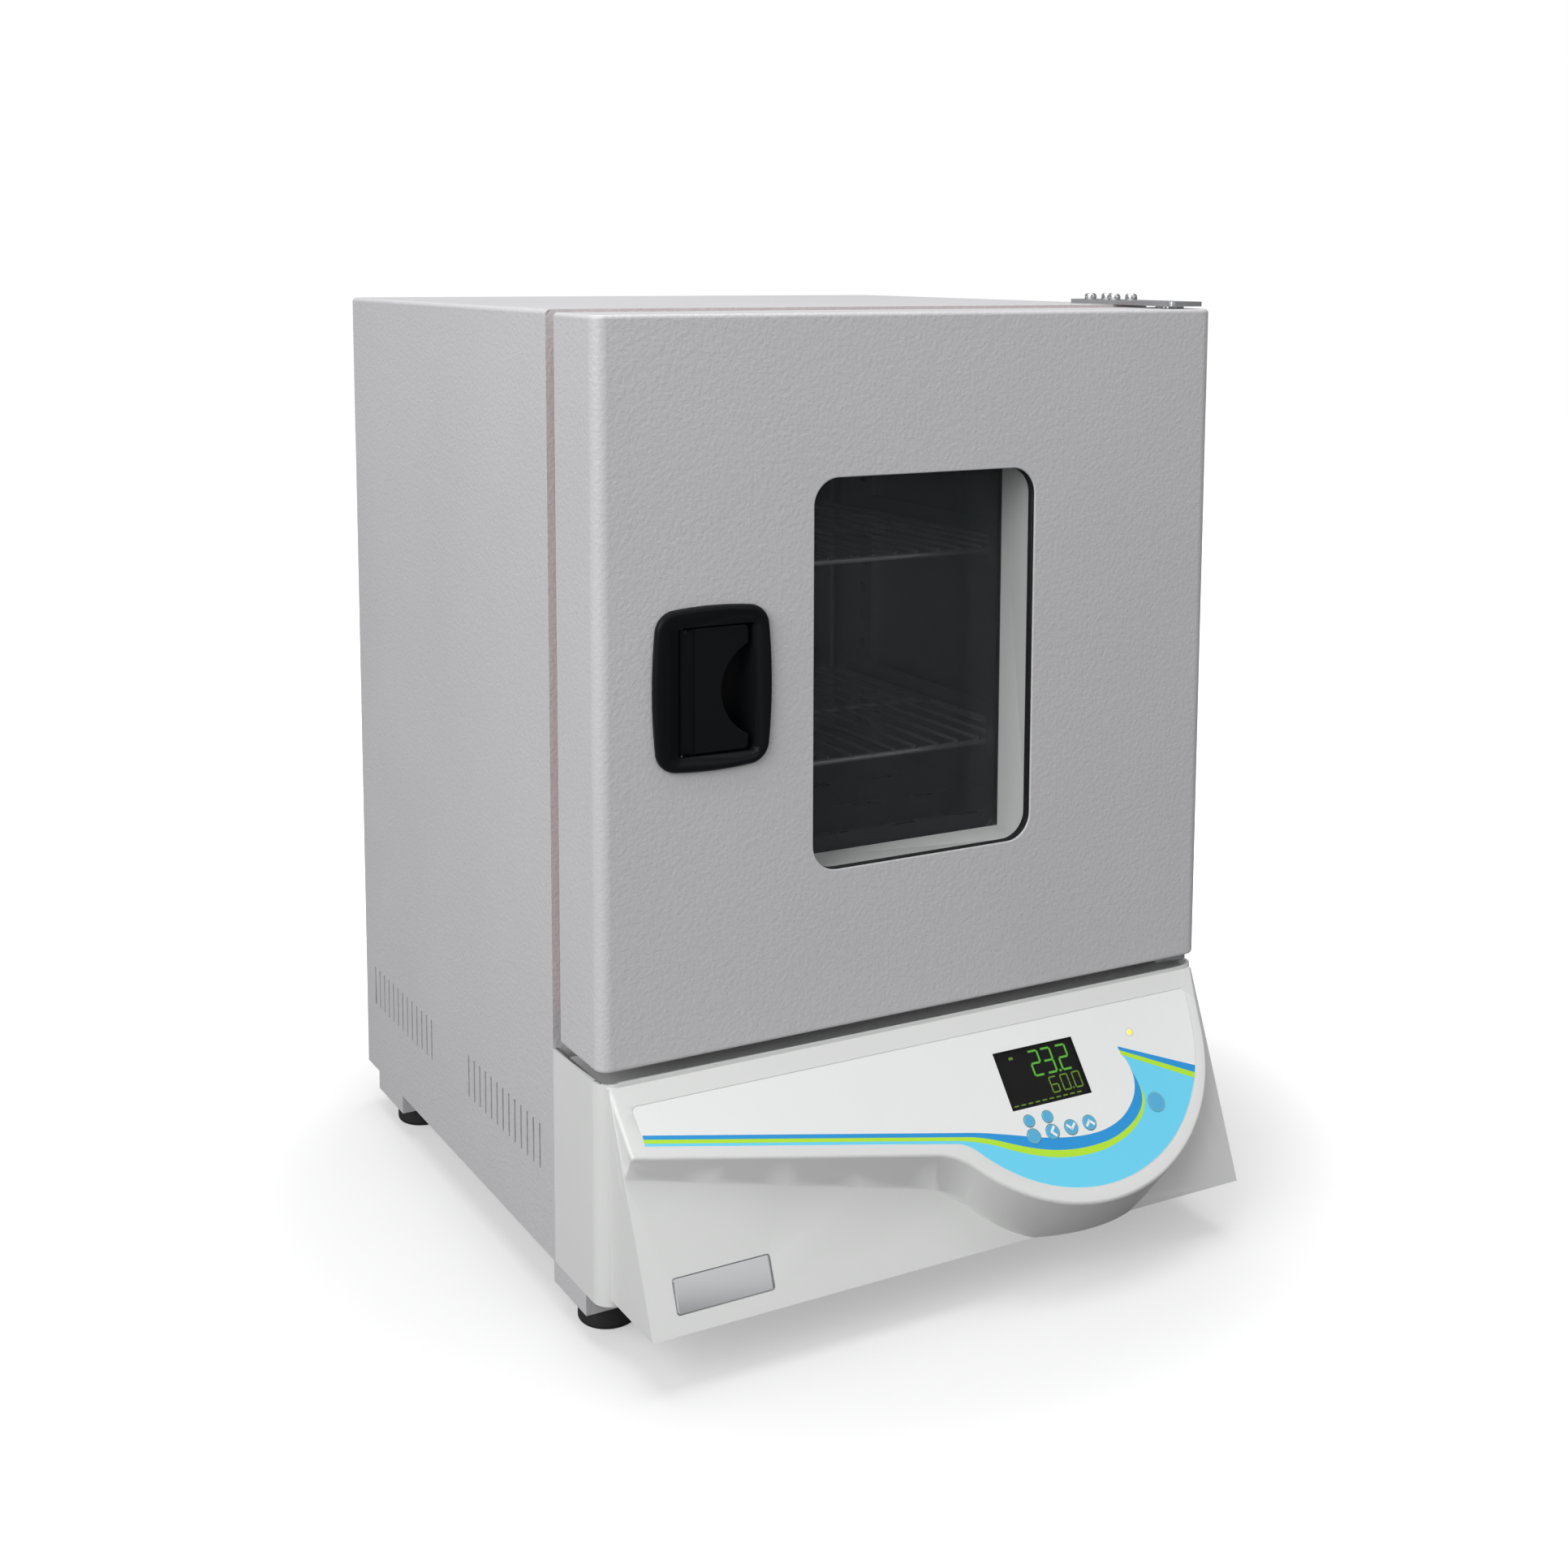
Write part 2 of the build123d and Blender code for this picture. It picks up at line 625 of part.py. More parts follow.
def element():
    """Bent tubular element on its saddles, with the slotted plate over it."""
    z = CHAMBER_FLOOR + ELEMENT_LIFT
    pitch = ELEMENT_PITCH
    side = [
        (pitch / 2, ELEMENT_END_Y),
        (pitch / 2, ELEMENT_OUTER_Y),
        (pitch * 2.5, ELEMENT_OUTER_Y),
        (pitch * 2.5, ELEMENT_FRONT_Y),
        (pitch * 1.5, ELEMENT_FRONT_Y),
        (pitch * 1.5, ELEMENT_INNER_Y),
        (pitch / 2, ELEMENT_INNER_Y),
        (pitch / 2, ELEMENT_FRONT_Y),
    ]
    points = side + [(-x, y) for x, y in reversed(side)]
    path = FilletPolyline(*[(x, y, z) for x, y in points], radius=ELEMENT_BEND_R)
    start = Plane(origin=(pitch / 2, ELEMENT_END_Y, z), z_dir=(0, -1, 0))
    tube = sweep(start * Circle(ELEMENT_R), path=path)

    saddles = []
    for x in [pitch * k for k in (-2.5, -0.5, 0.5, 2.5)]:
        saddle = block(
            (x - SUPPORT_W / 2, x + SUPPORT_W / 2),
            (SUPPORT_Y - SUPPORT_T / 2, SUPPORT_Y + SUPPORT_T / 2),
            (CHAMBER_FLOOR, z),
        )
        saddles.append(saddle - bar(ELEMENT_R, (x, SUPPORT_Y - SUPPORT_T, z), (0, 1, 0), 2 * SUPPORT_T))

    top = CHAMBER_FLOOR + COVER_LIFT
    cover = block((-COVER_X, COVER_X), (COVER_Y0, COVER_Y1), (top - TANK_WALL, top))
    leg_x = (COVER_X - TANK_WALL, COVER_X)
    leg = block(leg_x, (COVER_Y0 + CHAMBER_R, COVER_Y1), (CHAMBER_FLOOR + CHAMBER_R, top))
    cover += [leg, mirrored(leg)]
    leg_y = (COVER_Y0 + CHAMBER_R, COVER_Y0 + 2 * CHAMBER_R)
    foot = block((COVER_X - 2 * CHAMBER_R, COVER_X - 2 * CHAMBER_R + TANK_WALL), leg_y, (CHAMBER_FLOOR, top))
    back_foot = Pos(0, COVER_Y1 - COVER_Y0 - 3 * CHAMBER_R, 0) * foot
    cover += [foot, mirrored(foot), back_foot, mirrored(back_foot)]
    for i in range(-2, 3):
        for j in range(-2, 3):
            x = COVER_SLOT_PX * i
            y = (COVER_Y0 + COVER_Y1) / 2 + COVER_SLOT_PY * j
            cover -= block(
                (x - COVER_SLOT_L / 2, x + COVER_SLOT_L / 2),
                (y - COVER_SLOT_W / 2, y + COVER_SLOT_W / 2),
                (top - TANK_WALL, top),
            )

    probe = bar(PROBE_R, (PROBE_X, ELEMENT_END_Y, PROBE_Z), (0, -1, 0), ELEMENT_END_Y - CHAMBER + PROBE_REACH)
    probe = fillet(probe.edges().sort_by(Axis.Y)[0], PROBE_TIP_R)
    probe += bar(PROBE_COLLAR_R, (PROBE_X, CHAMBER, PROBE_Z), (0, -1, 0), PROBE_COLLAR_T)
    return {
        "heating_element": tube,
        "element_supports": group(saddles),
        "chamber_floor_plate": cover,
        "temperature_probe": probe,
    }


def shelves():
    """Slotted uprights, angle runners and two wire shelves."""
    wall = CHAMBER / 2
    face = wall - PILASTER_STAND
    uprights = []
    for y in PILASTER_Y:
        span = (y, y + PILASTER_W)
        upright = block((face, wall), span, (PILASTER_Z0, PILASTER_Z1))
        hollow_y = (y + PILASTER_T, y + PILASTER_W - PILASTER_T)
        upright -= block((face + PILASTER_T, wall), hollow_y, (PILASTER_Z0, PILASTER_Z1))
        middle = y + PILASTER_W / 2
        for i in range(PILASTER_SLOTS):
            z = PILASTER_FIRST + PILASTER_STEP * i
            upright -= block(
                (face, face + PILASTER_T),
                (middle - PILASTER_SLOT_W / 2, middle + PILASTER_SLOT_W / 2),
                (z - PILASTER_SLOT_H / 2, z + PILASTER_SLOT_H / 2),
            )
        uprights += [upright, mirrored(upright)]

    nodes = {"shelf_pilasters": group(uprights)}
    runners = []
    for name, z in zip(("shelf_lower", "shelf_upper"), SHELF_Z):
        rest = z - SHELF_RAIL_R - SHELF_REST_GAP
        runner = block((face - RUNNER_FOOT, face), (RUNNER_Y0, RUNNER_Y1), (rest - RUNNER_T, rest))
        runner += block((face - RUNNER_T, face), (RUNNER_Y0, RUNNER_Y1), (rest, rest + RUNNER_RISE))
        for y in PILASTER_Y:
            middle = y + PILASTER_W / 2
            hook_z = z + HOOK_LIFT
            runner += block(
                (face, face + HOOK_REACH),
                (middle - PILASTER_SLOT_W / 2 + HOLE_ROOM, middle + PILASTER_SLOT_W / 2 - HOLE_ROOM),
                (hook_z - HOOK_H / 2, hook_z + HOOK_H / 2),
            )
        runners += [runner, mirrored(runner)]
        nodes[name] = wire_shelf(z)
    nodes["shelf_runners"] = group(runners)
    return nodes


def wire_shelf(z):
    """Round frame with wires welded across it."""
    corners = [
        (SHELF_HALF, SHELF_Y0),
        (SHELF_HALF, SHELF_Y1),
        (-SHELF_HALF, SHELF_Y1),
        (-SHELF_HALF, SHELF_Y0),
    ]
    frame = round_loop(SHELF_RAIL_R, [(x, y, z) for x, y in corners], SHELF_CORNER_R)
    frame += bar(SHELF_RAIL_R, (-SHELF_HALF, (SHELF_Y0 + SHELF_Y1) / 2, z), (1, 0, 0), 2 * SHELF_HALF)
    wire_z = z + SHELF_RAIL_R + SHELF_WIRE_R - SHELF_SINK
    wires = []
    for i in range(SHELF_WIRES):
        x = (i - (SHELF_WIRES - 1) / 2) * SHELF_PITCH
        start_y = SHELF_Y0 - SHELF_RAIL_R
        wire_length = SHELF_Y1 - SHELF_Y0 + 2 * SHELF_RAIL_R
        wires.append(bar(SHELF_WIRE_R, (x, start_y, wire_z), (0, 1, 0), wire_length))
    return frame + wires


def exhaust():
    """Duct through the rear insulation, and the disc that opens and shuts it."""
    out = CASE_D + DUCT_COLLAR_T
    duct_start = (0, CHAMBER - DUCT_INSIDE, DUCT_Z)
    duct = ring(DUCT_R, DUCT_R - DUCT_WALL, duct_start, (0, 1, 0), out - duct_start[1])
    duct += ring(DUCT_COLLAR_R, DUCT_R, (0, CASE_D, DUCT_Z), (0, 1, 0), DUCT_COLLAR_T)
    duct += bar(DUCT_R, (0, CASE_D, DUCT_Z), (0, 1, 0), DUCT_COLLAR_T)
    shut = CASE_D + DUCT_COLLAR_T + DAMPER_GAP
    disc = bar(DAMPER_R, (0, shut, DUCT_Z), (0, 1, 0), DAMPER_T)
    for i in range(DUCT_HOLES):
        turn = radians(90 + i * 360 / DUCT_HOLES)
        x = DUCT_HOLE_AT * cos(turn)
        z = DUCT_Z + DUCT_HOLE_AT * sin(turn)
        duct -= bar(DUCT_HOLE_R, (x, CASE_D, z), (0, 1, 0), DUCT_COLLAR_T)
        disc -= bar(DUCT_HOLE_R, (x, shut, z), (0, 1, 0), DAMPER_T)
    pin_length = DUCT_COLLAR_T + DAMPER_GAP + DAMPER_T + DAMPER_KNOB_H / 2
    duct += bar(DAMPER_PIN_R, (0, CASE_D, DUCT_Z), (0, 1, 0), pin_length)
    knob = bar(DAMPER_KNOB_R, (0, shut + DAMPER_T, DUCT_Z), (0, 1, 0), DAMPER_KNOB_H)
    knob = fillet(knob.edges().sort_by(Axis.Y)[-1], DAMPER_T)
    disc += knob
    bore = DAMPER_PIN_R + PIN_ROOM
    disc -= bar(bore, (0, shut, DUCT_Z), (0, 1, 0), DAMPER_T + DAMPER_KNOB_H / 2 + DAMPER_GAP)
    return {"exhaust_duct": duct, "exhaust_damper": disc}


def electronics():
    """Power board, relay on its heat sink, and the mains inlet in the rear cover."""
    board_z = FLOOR_TOP + POWER_STAND
    board = block((POWER_X0, POWER_X1), (POWER_Y0, POWER_Y1), (board_z, board_z + BOARD_T))
    top = board_z + BOARD_T
    for x in (POWER_X0 + BOSS_R, POWER_X1 - BOSS_R):
        for y in (POWER_Y0 + BOSS_R, POWER_Y1 - BOSS_R):
            board += bar(BOSS_R, (x, y, FLOOR_TOP), (0, 0, 1), POWER_STAND)
    transformer_x = (POWER_X0 + TRANSFORMER_X[0], POWER_X0 + TRANSFORMER_X[1])
    transformer_y = (POWER_Y0 + TRANSFORMER_Y[0], POWER_Y0 + TRANSFORMER_Y[1])
    board += block(transformer_x, transformer_y, (top, top + TRANSFORMER_H))
    capacitor = (POWER_X0 + CAPACITOR_AT[0], POWER_Y0 + CAPACITOR_AT[1], top)
    board += bar(CAPACITOR_R, capacitor, (0, 0, 1), CAPACITOR_H)
    terminal_x = (POWER_X0 + TERMINAL_X[0], POWER_X0 + TERMINAL_X[1])
    board += block(terminal_x, (POWER_Y0, POWER_Y0 + TERMINAL_W), (top, top + TERMINAL_W))

    sink_top = FLOOR_TOP + SINK_H
    sink = block((SINK_X0, SINK_X1), (SINK_Y0, SINK_Y1), (sink_top - SINK_BASE_T, sink_top))
    for i in range(SINK_FINS):
        x = SINK_X0 + i * (SINK_X1 - SINK_X0 - SINK_FIN_T) / (SINK_FINS - 1)
        sink += block((x, x + SINK_FIN_T), (SINK_Y0, SINK_Y1), (FLOOR_TOP, sink_top - SINK_BASE_T))
    mid_x = (SINK_X0 + SINK_X1) / 2
    mid_y = (SINK_Y0 + SINK_Y1) / 2
    relay = block(
        (mid_x - RELAY_W / 2, mid_x + RELAY_W / 2),
        (mid_y - RELAY_L / 2, mid_y + RELAY_L / 2),
        (sink_top, sink_top + RELAY_H),
    )
    relay = chamfer(relay.edges().group_by(Axis.Z)[-1], BADGE_R)
    for side in (-1, 1):
        y = mid_y + side * (RELAY_L / 2 - BOSS_R * 2)
        relay -= bar(BOSS_R, (mid_x, y, sink_top), (0, 0, 1), RELAY_H)

    flange = rounded(
        (INLET_X - INLET_FLANGE_W / 2, INLET_X + INLET_FLANGE_W / 2),
        (INLET_Z - INLET_FLANGE_H / 2, INLET_Z + INLET_FLANGE_H / 2),
        BADGE_R,
    )
    inlet = front_plate(flange, CASE_D, CASE_D + INLET_FLANGE_T)
    body = ((INLET_X - INLET_W / 2, INLET_X + INLET_W / 2), (INLET_Z - INLET_H / 2, INLET_Z + INLET_H / 2))
    inlet += block(body[0], (CASE_D - INLET_BODY, CASE_D), body[1])
    well_y = (CASE_D + INLET_FLANGE_T - INLET_WELL, CASE_D + INLET_FLANGE_T)
    well_x = (body[0][0] + INLET_RIM, body[0][1] - INLET_RIM)
    inlet -= block(well_x, well_y, (body[1][0] + INLET_RIM, body[1][1] - INLET_RIM))
    for x, z in INLET_BLADES:
        blade_x = (INLET_X + x - INLET_BLADE_T / 2, INLET_X + x + INLET_BLADE_T / 2)
        blade_z = (INLET_Z + z - INLET_RIM, INLET_Z + z + INLET_RIM)
        inlet += block(blade_x, (well_y[0], well_y[1] - INLET_RIM), blade_z)
    return {"power_board": board, "heat_sink": sink, "solid_state_relay": relay, "mains_inlet": inlet}


def feet():
    """Folded brackets and rubber feet at the four corners."""
    brackets = []
    rubber = []
    screws = []
    for y, span in ((FOOT_FRONT_Y, BRACKET_FRONT_Y), (FOOT_REAR_Y, BRACKET_REAR_Y)):
        right = block((BRACKET_IN, HALF), span, (CASE_BASE - SHEET, CASE_BASE))
        right += block((IN_HALF, HALF), span, (FOOT_H, CASE_BASE))
        right += block((BRACKET_IN, HALF), (span[0], span[0] + SHEET), (FOOT_H, CASE_BASE))
        right -= bar(FOOT_SHANK_R, (FOOT_X, y, CASE_BASE), (0, 0, -1), SHEET)
        foot = bar(FOOT_R, (FOOT_X, y, 0), (0, 0, 1), FOOT_H)
        foot = fillet(foot.edges().sort_by(Axis.Z)[0], FOOT_EDGE_R)
        foot += bar(FOOT_BOSS_R, (FOOT_X, y, FOOT_H), (0, 0, 1), CASE_BASE - SHEET - FOOT_H)
        foot -= bar(FOOT_WELL_R, (FOOT_X, y, 0), (0, 0, 1), FOOT_WELL)
        foot -= bar(FOOT_SHANK_R, (FOOT_X, y, 0), (0, 0, 1), CASE_BASE)
        bolt = bar(FOOT_HEAD_R, (FOOT_X, y, FOOT_WELL), (0, 0, -1), FOOT_HEAD_H)
        bolt += bar(FOOT_SHANK_R, (FOOT_X, y, FOOT_WELL), (0, 0, 1), FOOT_SHANK_END - FOOT_WELL)
        brackets += [right, mirrored(right)]
        rubber += [foot, mirrored(foot)]
        screws += [bolt, mirrored(bolt)]
    return {"foot_brackets": group(brackets), "feet": group(rubber), "foot_screws": group(screws)}


def hinges():
    """Top plate, lower bracket, pins, bushes and screws that carry the door."""
    plate_x = (HINGE_PLATE_X[0] + HINGE_PLATE_X[1]) / 2
    width = HINGE_PLATE_X[1] - HINGE_PLATE_X[0]
    plate_y = (HINGE_PLATE_Y[0] + HINGE_PLATE_Y[1]) / 2
    plate_depth = HINGE_PLATE_Y[1] - HINGE_PLATE_Y[0]
    outline = Pos(plate_x, plate_y) * RectangleRounded(width, plate_depth, HINGE_PLATE_R)
    plate = level_plate(outline, CASE_TOP, CASE_TOP + HINGE_PLATE_T)
    seat = CASE_TOP + HINGE_PLATE_T
    screws = []
    for x in HINGE_SCREW_X:
        for y in HINGE_SCREW_Y:
            plate -= bar(HINGE_SCREW[2], (x, y, seat), (0, 0, -1), HINGE_PLATE_T)
            screws.append(screw(HINGE_SCREW, (x, y, seat), (0, 0, 1)))
    plate -= bar(PIN_R, (PIVOT_X, PIVOT_Y, seat), (0, 0, -1), HINGE_PLATE_T)

    bush_low = DOOR_BOTTOM - BUSH_FLANGE_GAP
    bracket_top = DOOR_BOTTOM - (CASE_TOP - DOOR_TOP) - BUSH_FLANGE_GAP
    bracket_low = bracket_top - HINGE_PLATE_T
    short = Pos(plate_x, HINGE_PLATE_Y[0] / 2) * RectangleRounded(width, -HINGE_PLATE_Y[0], HINGE_PLATE_R)
    bracket = level_plate(short, bracket_low, bracket_top)
    bracket += block(LOWER_LEG_X, (-HINGE_PLATE_T, 0), (LOWER_LEG_Z0, bracket_top))
    bracket -= bar(PIN_R, (PIVOT_X, PIVOT_Y, bracket_low), (0, 0, 1), HINGE_PLATE_T)
    for x, y, z in lower_screw_places(-HINGE_PLATE_T):
        bracket -= bar(HINGE_SCREW[2], (x, y, z), (0, 1, 0), HINGE_PLATE_T)
        screws.append(screw(HINGE_SCREW, (x, y, z), (0, -1, 0)))

    top_pin = bar(PIN_R, (PIVOT_X, PIVOT_Y, seat), (0, 0, -1), seat - DOOR_TOP + PIN_IN_DOOR)
    low_pin = bar(PIN_R, (PIVOT_X, PIVOT_Y, bracket_low), (0, 0, 1), DOOR_BOTTOM + PIN_IN_DOOR - bracket_low)
    top_bush = ring(BUSH_R, PIN_R + PIN_ROOM, (PIVOT_X, PIVOT_Y, DOOR_TOP), (0, 0, -1), BUSH_L)
    top_flange = CASE_TOP - BUSH_FLANGE_GAP - DOOR_TOP
    top_bush += ring(BUSH_FLANGE_R, PIN_R + PIN_ROOM, (PIVOT_X, PIVOT_Y, DOOR_TOP), (0, 0, 1), top_flange)
    low_bush = ring(BUSH_R, PIN_R + PIN_ROOM, (PIVOT_X, PIVOT_Y, DOOR_BOTTOM), (0, 0, 1), BUSH_L)
    low_flange = bush_low - bracket_top
    low_bush += ring(BUSH_FLANGE_R, PIN_R + PIN_ROOM, (PIVOT_X, PIVOT_Y, DOOR_BOTTOM), (0, 0, -1), low_flange)
    return {
        "top_hinge_plate": plate,
        "lower_hinge_bracket": bracket,
        "hinge_screws": group(screws),
        "hinge_pins": group([top_pin, low_pin]),
        "hinge_bushes": group([top_bush, low_bush]),
    }


def door_section(inset):
    """Plan of the door, round at its two front corners."""
    half = HALF - inset
    front = DOOR_FRONT + inset
    outline = FilletPolyline(
        (half, DOOR_BACK), (half, front), (-half, front), (-half, DOOR_BACK), radius=DOOR_CORNER_R - inset
    )
    return make_face([*outline.edges(), Line((-half, DOOR_BACK), (half, DOOR_BACK))])


def window(out, radius):
    """Outline of the window grown by a margin."""
    x = WINDOW_HALF + out
    return rounded((-x, x), (WINDOW_Z0 - out, WINDOW_Z1 + out), radius)


def door():
    """Door skins, window stack, insulation and gasket."""
    skin = DOOR_FRONT + SHEET
    shell = level_plate(door_section(0), DOOR_BOTTOM, DOOR_TOP)
    front_edges = shell.edges().filter_by(GeomType.LINE).filter_by(Axis.X).sort_by(Axis.Y)[:2]
    shell = fillet(front_edges, DOOR_EDGE_R)
    cavity = level_plate(door_section(SHEET), DOOR_BOTTOM + SHEET, DOOR_TOP - SHEET)
    cavity_edges = cavity.edges().filter_by(GeomType.LINE).filter_by(Axis.X).sort_by(Axis.Y)[:2]
    cavity = fillet(cavity_edges, DOOR_EDGE_R - SHEET)
    hole = front_plate(window(0, WINDOW_R), DOOR_FRONT - SHEET, skin)
    shell = shell - cavity - hole
    rim = [e for e in edges_at(shell, DOOR_FRONT) if abs(e.center().X) < WINDOW_HALF + NEAR]
    rim = [e for e in rim if WINDOW_Z0 - NEAR < e.center().Z < WINDOW_Z1 + NEAR]
    shell = fillet(rim, WINDOW_HEM_R)
    housing = housing_box()
    shell -= block(housing[0], (DOOR_FRONT, skin), housing[1])
    shell -= bar(BUSH_R, (PIVOT_X, PIVOT_Y, DOOR_TOP), (0, 0, -1), SHEET)
    shell -= bar(BUSH_R, (PIVOT_X, PIVOT_Y, DOOR_BOTTOM), (0, 0, 1), SHEET)

    seal_back = skin + SEAL_DEPTH
    seal = front_plate(window(SEAL_OUT, WINDOW_R + SEAL_OUT) - window(0, WINDOW_R), skin, seal_back)
    pane_y = (skin + SEAL_LIP, skin + SEAL_LIP + PANE_T)
    pane = front_plate(window(SEAL_GROOVE, WINDOW_R + SEAL_GROOVE), *pane_y)
    seal -= pane

    in_x = WINDOW_HALF + REVEAL_OUT
    in_z = (WINDOW_Z0 - REVEAL_OUT / 2, WINDOW_Z1 + REVEAL_OUT / 2)
    inside = Pos(0, (in_z[0] + in_z[1]) / 2) * Rectangle(2 * in_x, in_z[1] - in_z[0])
    grown_h = in_z[1] - in_z[0] + 2 * REVEAL_WALL
    grown = Pos(0, (in_z[0] + in_z[1]) / 2) * Rectangle(2 * (in_x + REVEAL_WALL), grown_h)
    lip_x = in_x + REVEAL_LIP
    lip = rounded((-lip_x, lip_x), (in_z[0] - REVEAL_LIP, in_z[1] + REVEAL_LIP), REVEAL_OUT)
    reveal = front_plate(grown, seal_back, REVEAL_BACK)
    reveal += front_plate(lip, seal_back, seal_back + REVEAL_WALL)
    reveal += front_plate(lip, REVEAL_BACK - REVEAL_WALL, REVEAL_BACK)
    reveal -= front_plate(inside, seal_back, REVEAL_BACK)
    mouth = [
        e
        for e in reveal.edges().filter_by(GeomType.LINE)
        if abs(e.center().Y - seal_back) < NEAR
        and abs(e.center().X) < in_x + ROUGHLY
        and in_z[0] - ROUGHLY < e.center().Z < in_z[1] + ROUGHLY
    ]
    reveal = fillet(mouth, REVEAL_LIP_R)

    glass_y = (REVEAL_BACK, REVEAL_BACK + PANE_T)
    inner_pane = front_plate(window(INNER_PANE_OUT, INNER_OPEN_R), *glass_y)
    hold = window(REVEAL_OUT, INNER_OPEN_R)
    panel_y = (DOOR_BACK - SHEET, DOOR_BACK)
    panel = rounded((-IN_HALF, IN_HALF), (DOOR_BOTTOM + SHEET, DOOR_TOP - SHEET), DOOR_EDGE_R - SHEET)
    panel = front_plate(panel, *panel_y)
    flange_face = window(REVEAL_OUT + INNER_FLANGE_T, INNER_OPEN_R + INNER_FLANGE_T)
    panel += front_plate(flange_face, glass_y[1], DOOR_BACK)
    panel -= front_plate(hold, glass_y[1], DOOR_BACK)
    tongue = LATCH_H / 2 + SLIDE_ROOM
    tongue_x = (LATCH_X[0] - LATCH_ROOM, LATCH_X[1] + LATCH_STROKE + LATCH_ROOM)
    panel -= block(tongue_x, panel_y, (LATCH_Z - tongue, LATCH_Z + tongue))

    fill_half = IN_HALF - DOOR_CORNER_R
    fill_z = (DOOR_BOTTOM + DOOR_EDGE_R + SHEET, DOOR_TOP - DOOR_EDGE_R - SHEET)
    fill = block((-fill_half, fill_half), (skin, panel_y[0]), fill_z)
    void_x = in_x + REVEAL_LIP + FILL_GAP
    void_z = (in_z[0] - REVEAL_LIP - FILL_GAP, in_z[1] + REVEAL_LIP + FILL_GAP)
    fill -= block((-void_x, void_x), (skin, panel_y[0]), void_z)
    mech_x = (LATCH_X[0] - LATCH_POCKET, housing[0][1] + FILL_GAP)
    fill -= block(mech_x, (skin, panel_y[0]), (housing[1][0] - FILL_GAP, housing[1][1] + FILL_GAP))
    pocket_x = (PIVOT_X - BUSH_R - BUSH_POCKET, HALF)
    for z in ((DOOR_BOTTOM, DOOR_BOTTOM + BUSH_L + BUSH_POCKET), (DOOR_TOP - BUSH_L - BUSH_POCKET, DOOR_TOP)):
        fill -= block(pocket_x, (PIVOT_Y - BUSH_R - BUSH_POCKET, PIVOT_Y + BUSH_R + BUSH_POCKET), z)

    centre_y = GASKET_TIP - GASKET_R
    corners = [(GASKET_X, GASKET_Z0), (GASKET_X, GASKET_Z1), (-GASKET_X, GASKET_Z1), (-GASKET_X, GASKET_Z0)]
    bulb = round_loop(GASKET_R, [(x, centre_y, z) for x, z in corners], GASKET_CORNER_R)
    foot_out = GASKET_FOOT_W / 2
    out_x = GASKET_X + foot_out
    in_foot = GASKET_X - foot_out
    strip = rounded((-out_x, out_x), (GASKET_Z0 - foot_out, GASKET_Z1 + foot_out), GASKET_CORNER_R + foot_out)
    foot_z = (GASKET_Z0 + foot_out, GASKET_Z1 - foot_out)
    strip -= rounded((-in_foot, in_foot), foot_z, GASKET_CORNER_R - foot_out)
    gasket = bulb + front_plate(strip, DOOR_BACK, centre_y)
    return {
        "door_shell": shell,
        "window_seal": seal,
        "outer_glass": pane,
        "window_reveal": reveal,
        "inner_glass": inner_pane,
        "door_inner_panel": panel,
        "door_insulation": fill,
        "door_gasket": gasket,
    }


def housing_box():
    """Outside of the handle housing in X and Z."""
    wall = HOUSING_WALL
    return (RECESS_X[0] - wall, RECESS_X[1] + wall), (RECESS_Z[0] - wall, RECESS_Z[1] + wall)


def bowed(width, height, side_bow, end_bow, radius):
    """Barrel outline: four slightly bowed sides with round corners."""
    x = width / 2 - side_bow
    z = height / 2 - end_bow
    edges = [
        ThreePointArc((x, -z), (width / 2, 0), (x, z)),
        ThreePointArc((x, z), (0, height / 2), (-x, z)),
        ThreePointArc((-x, z), (-width / 2, 0), (-x, -z)),
        ThreePointArc((-x, -z), (0, -height / 2), (x, -z)),
    ]
    face = make_face(edges)
    return fillet(face.vertices(), radius)


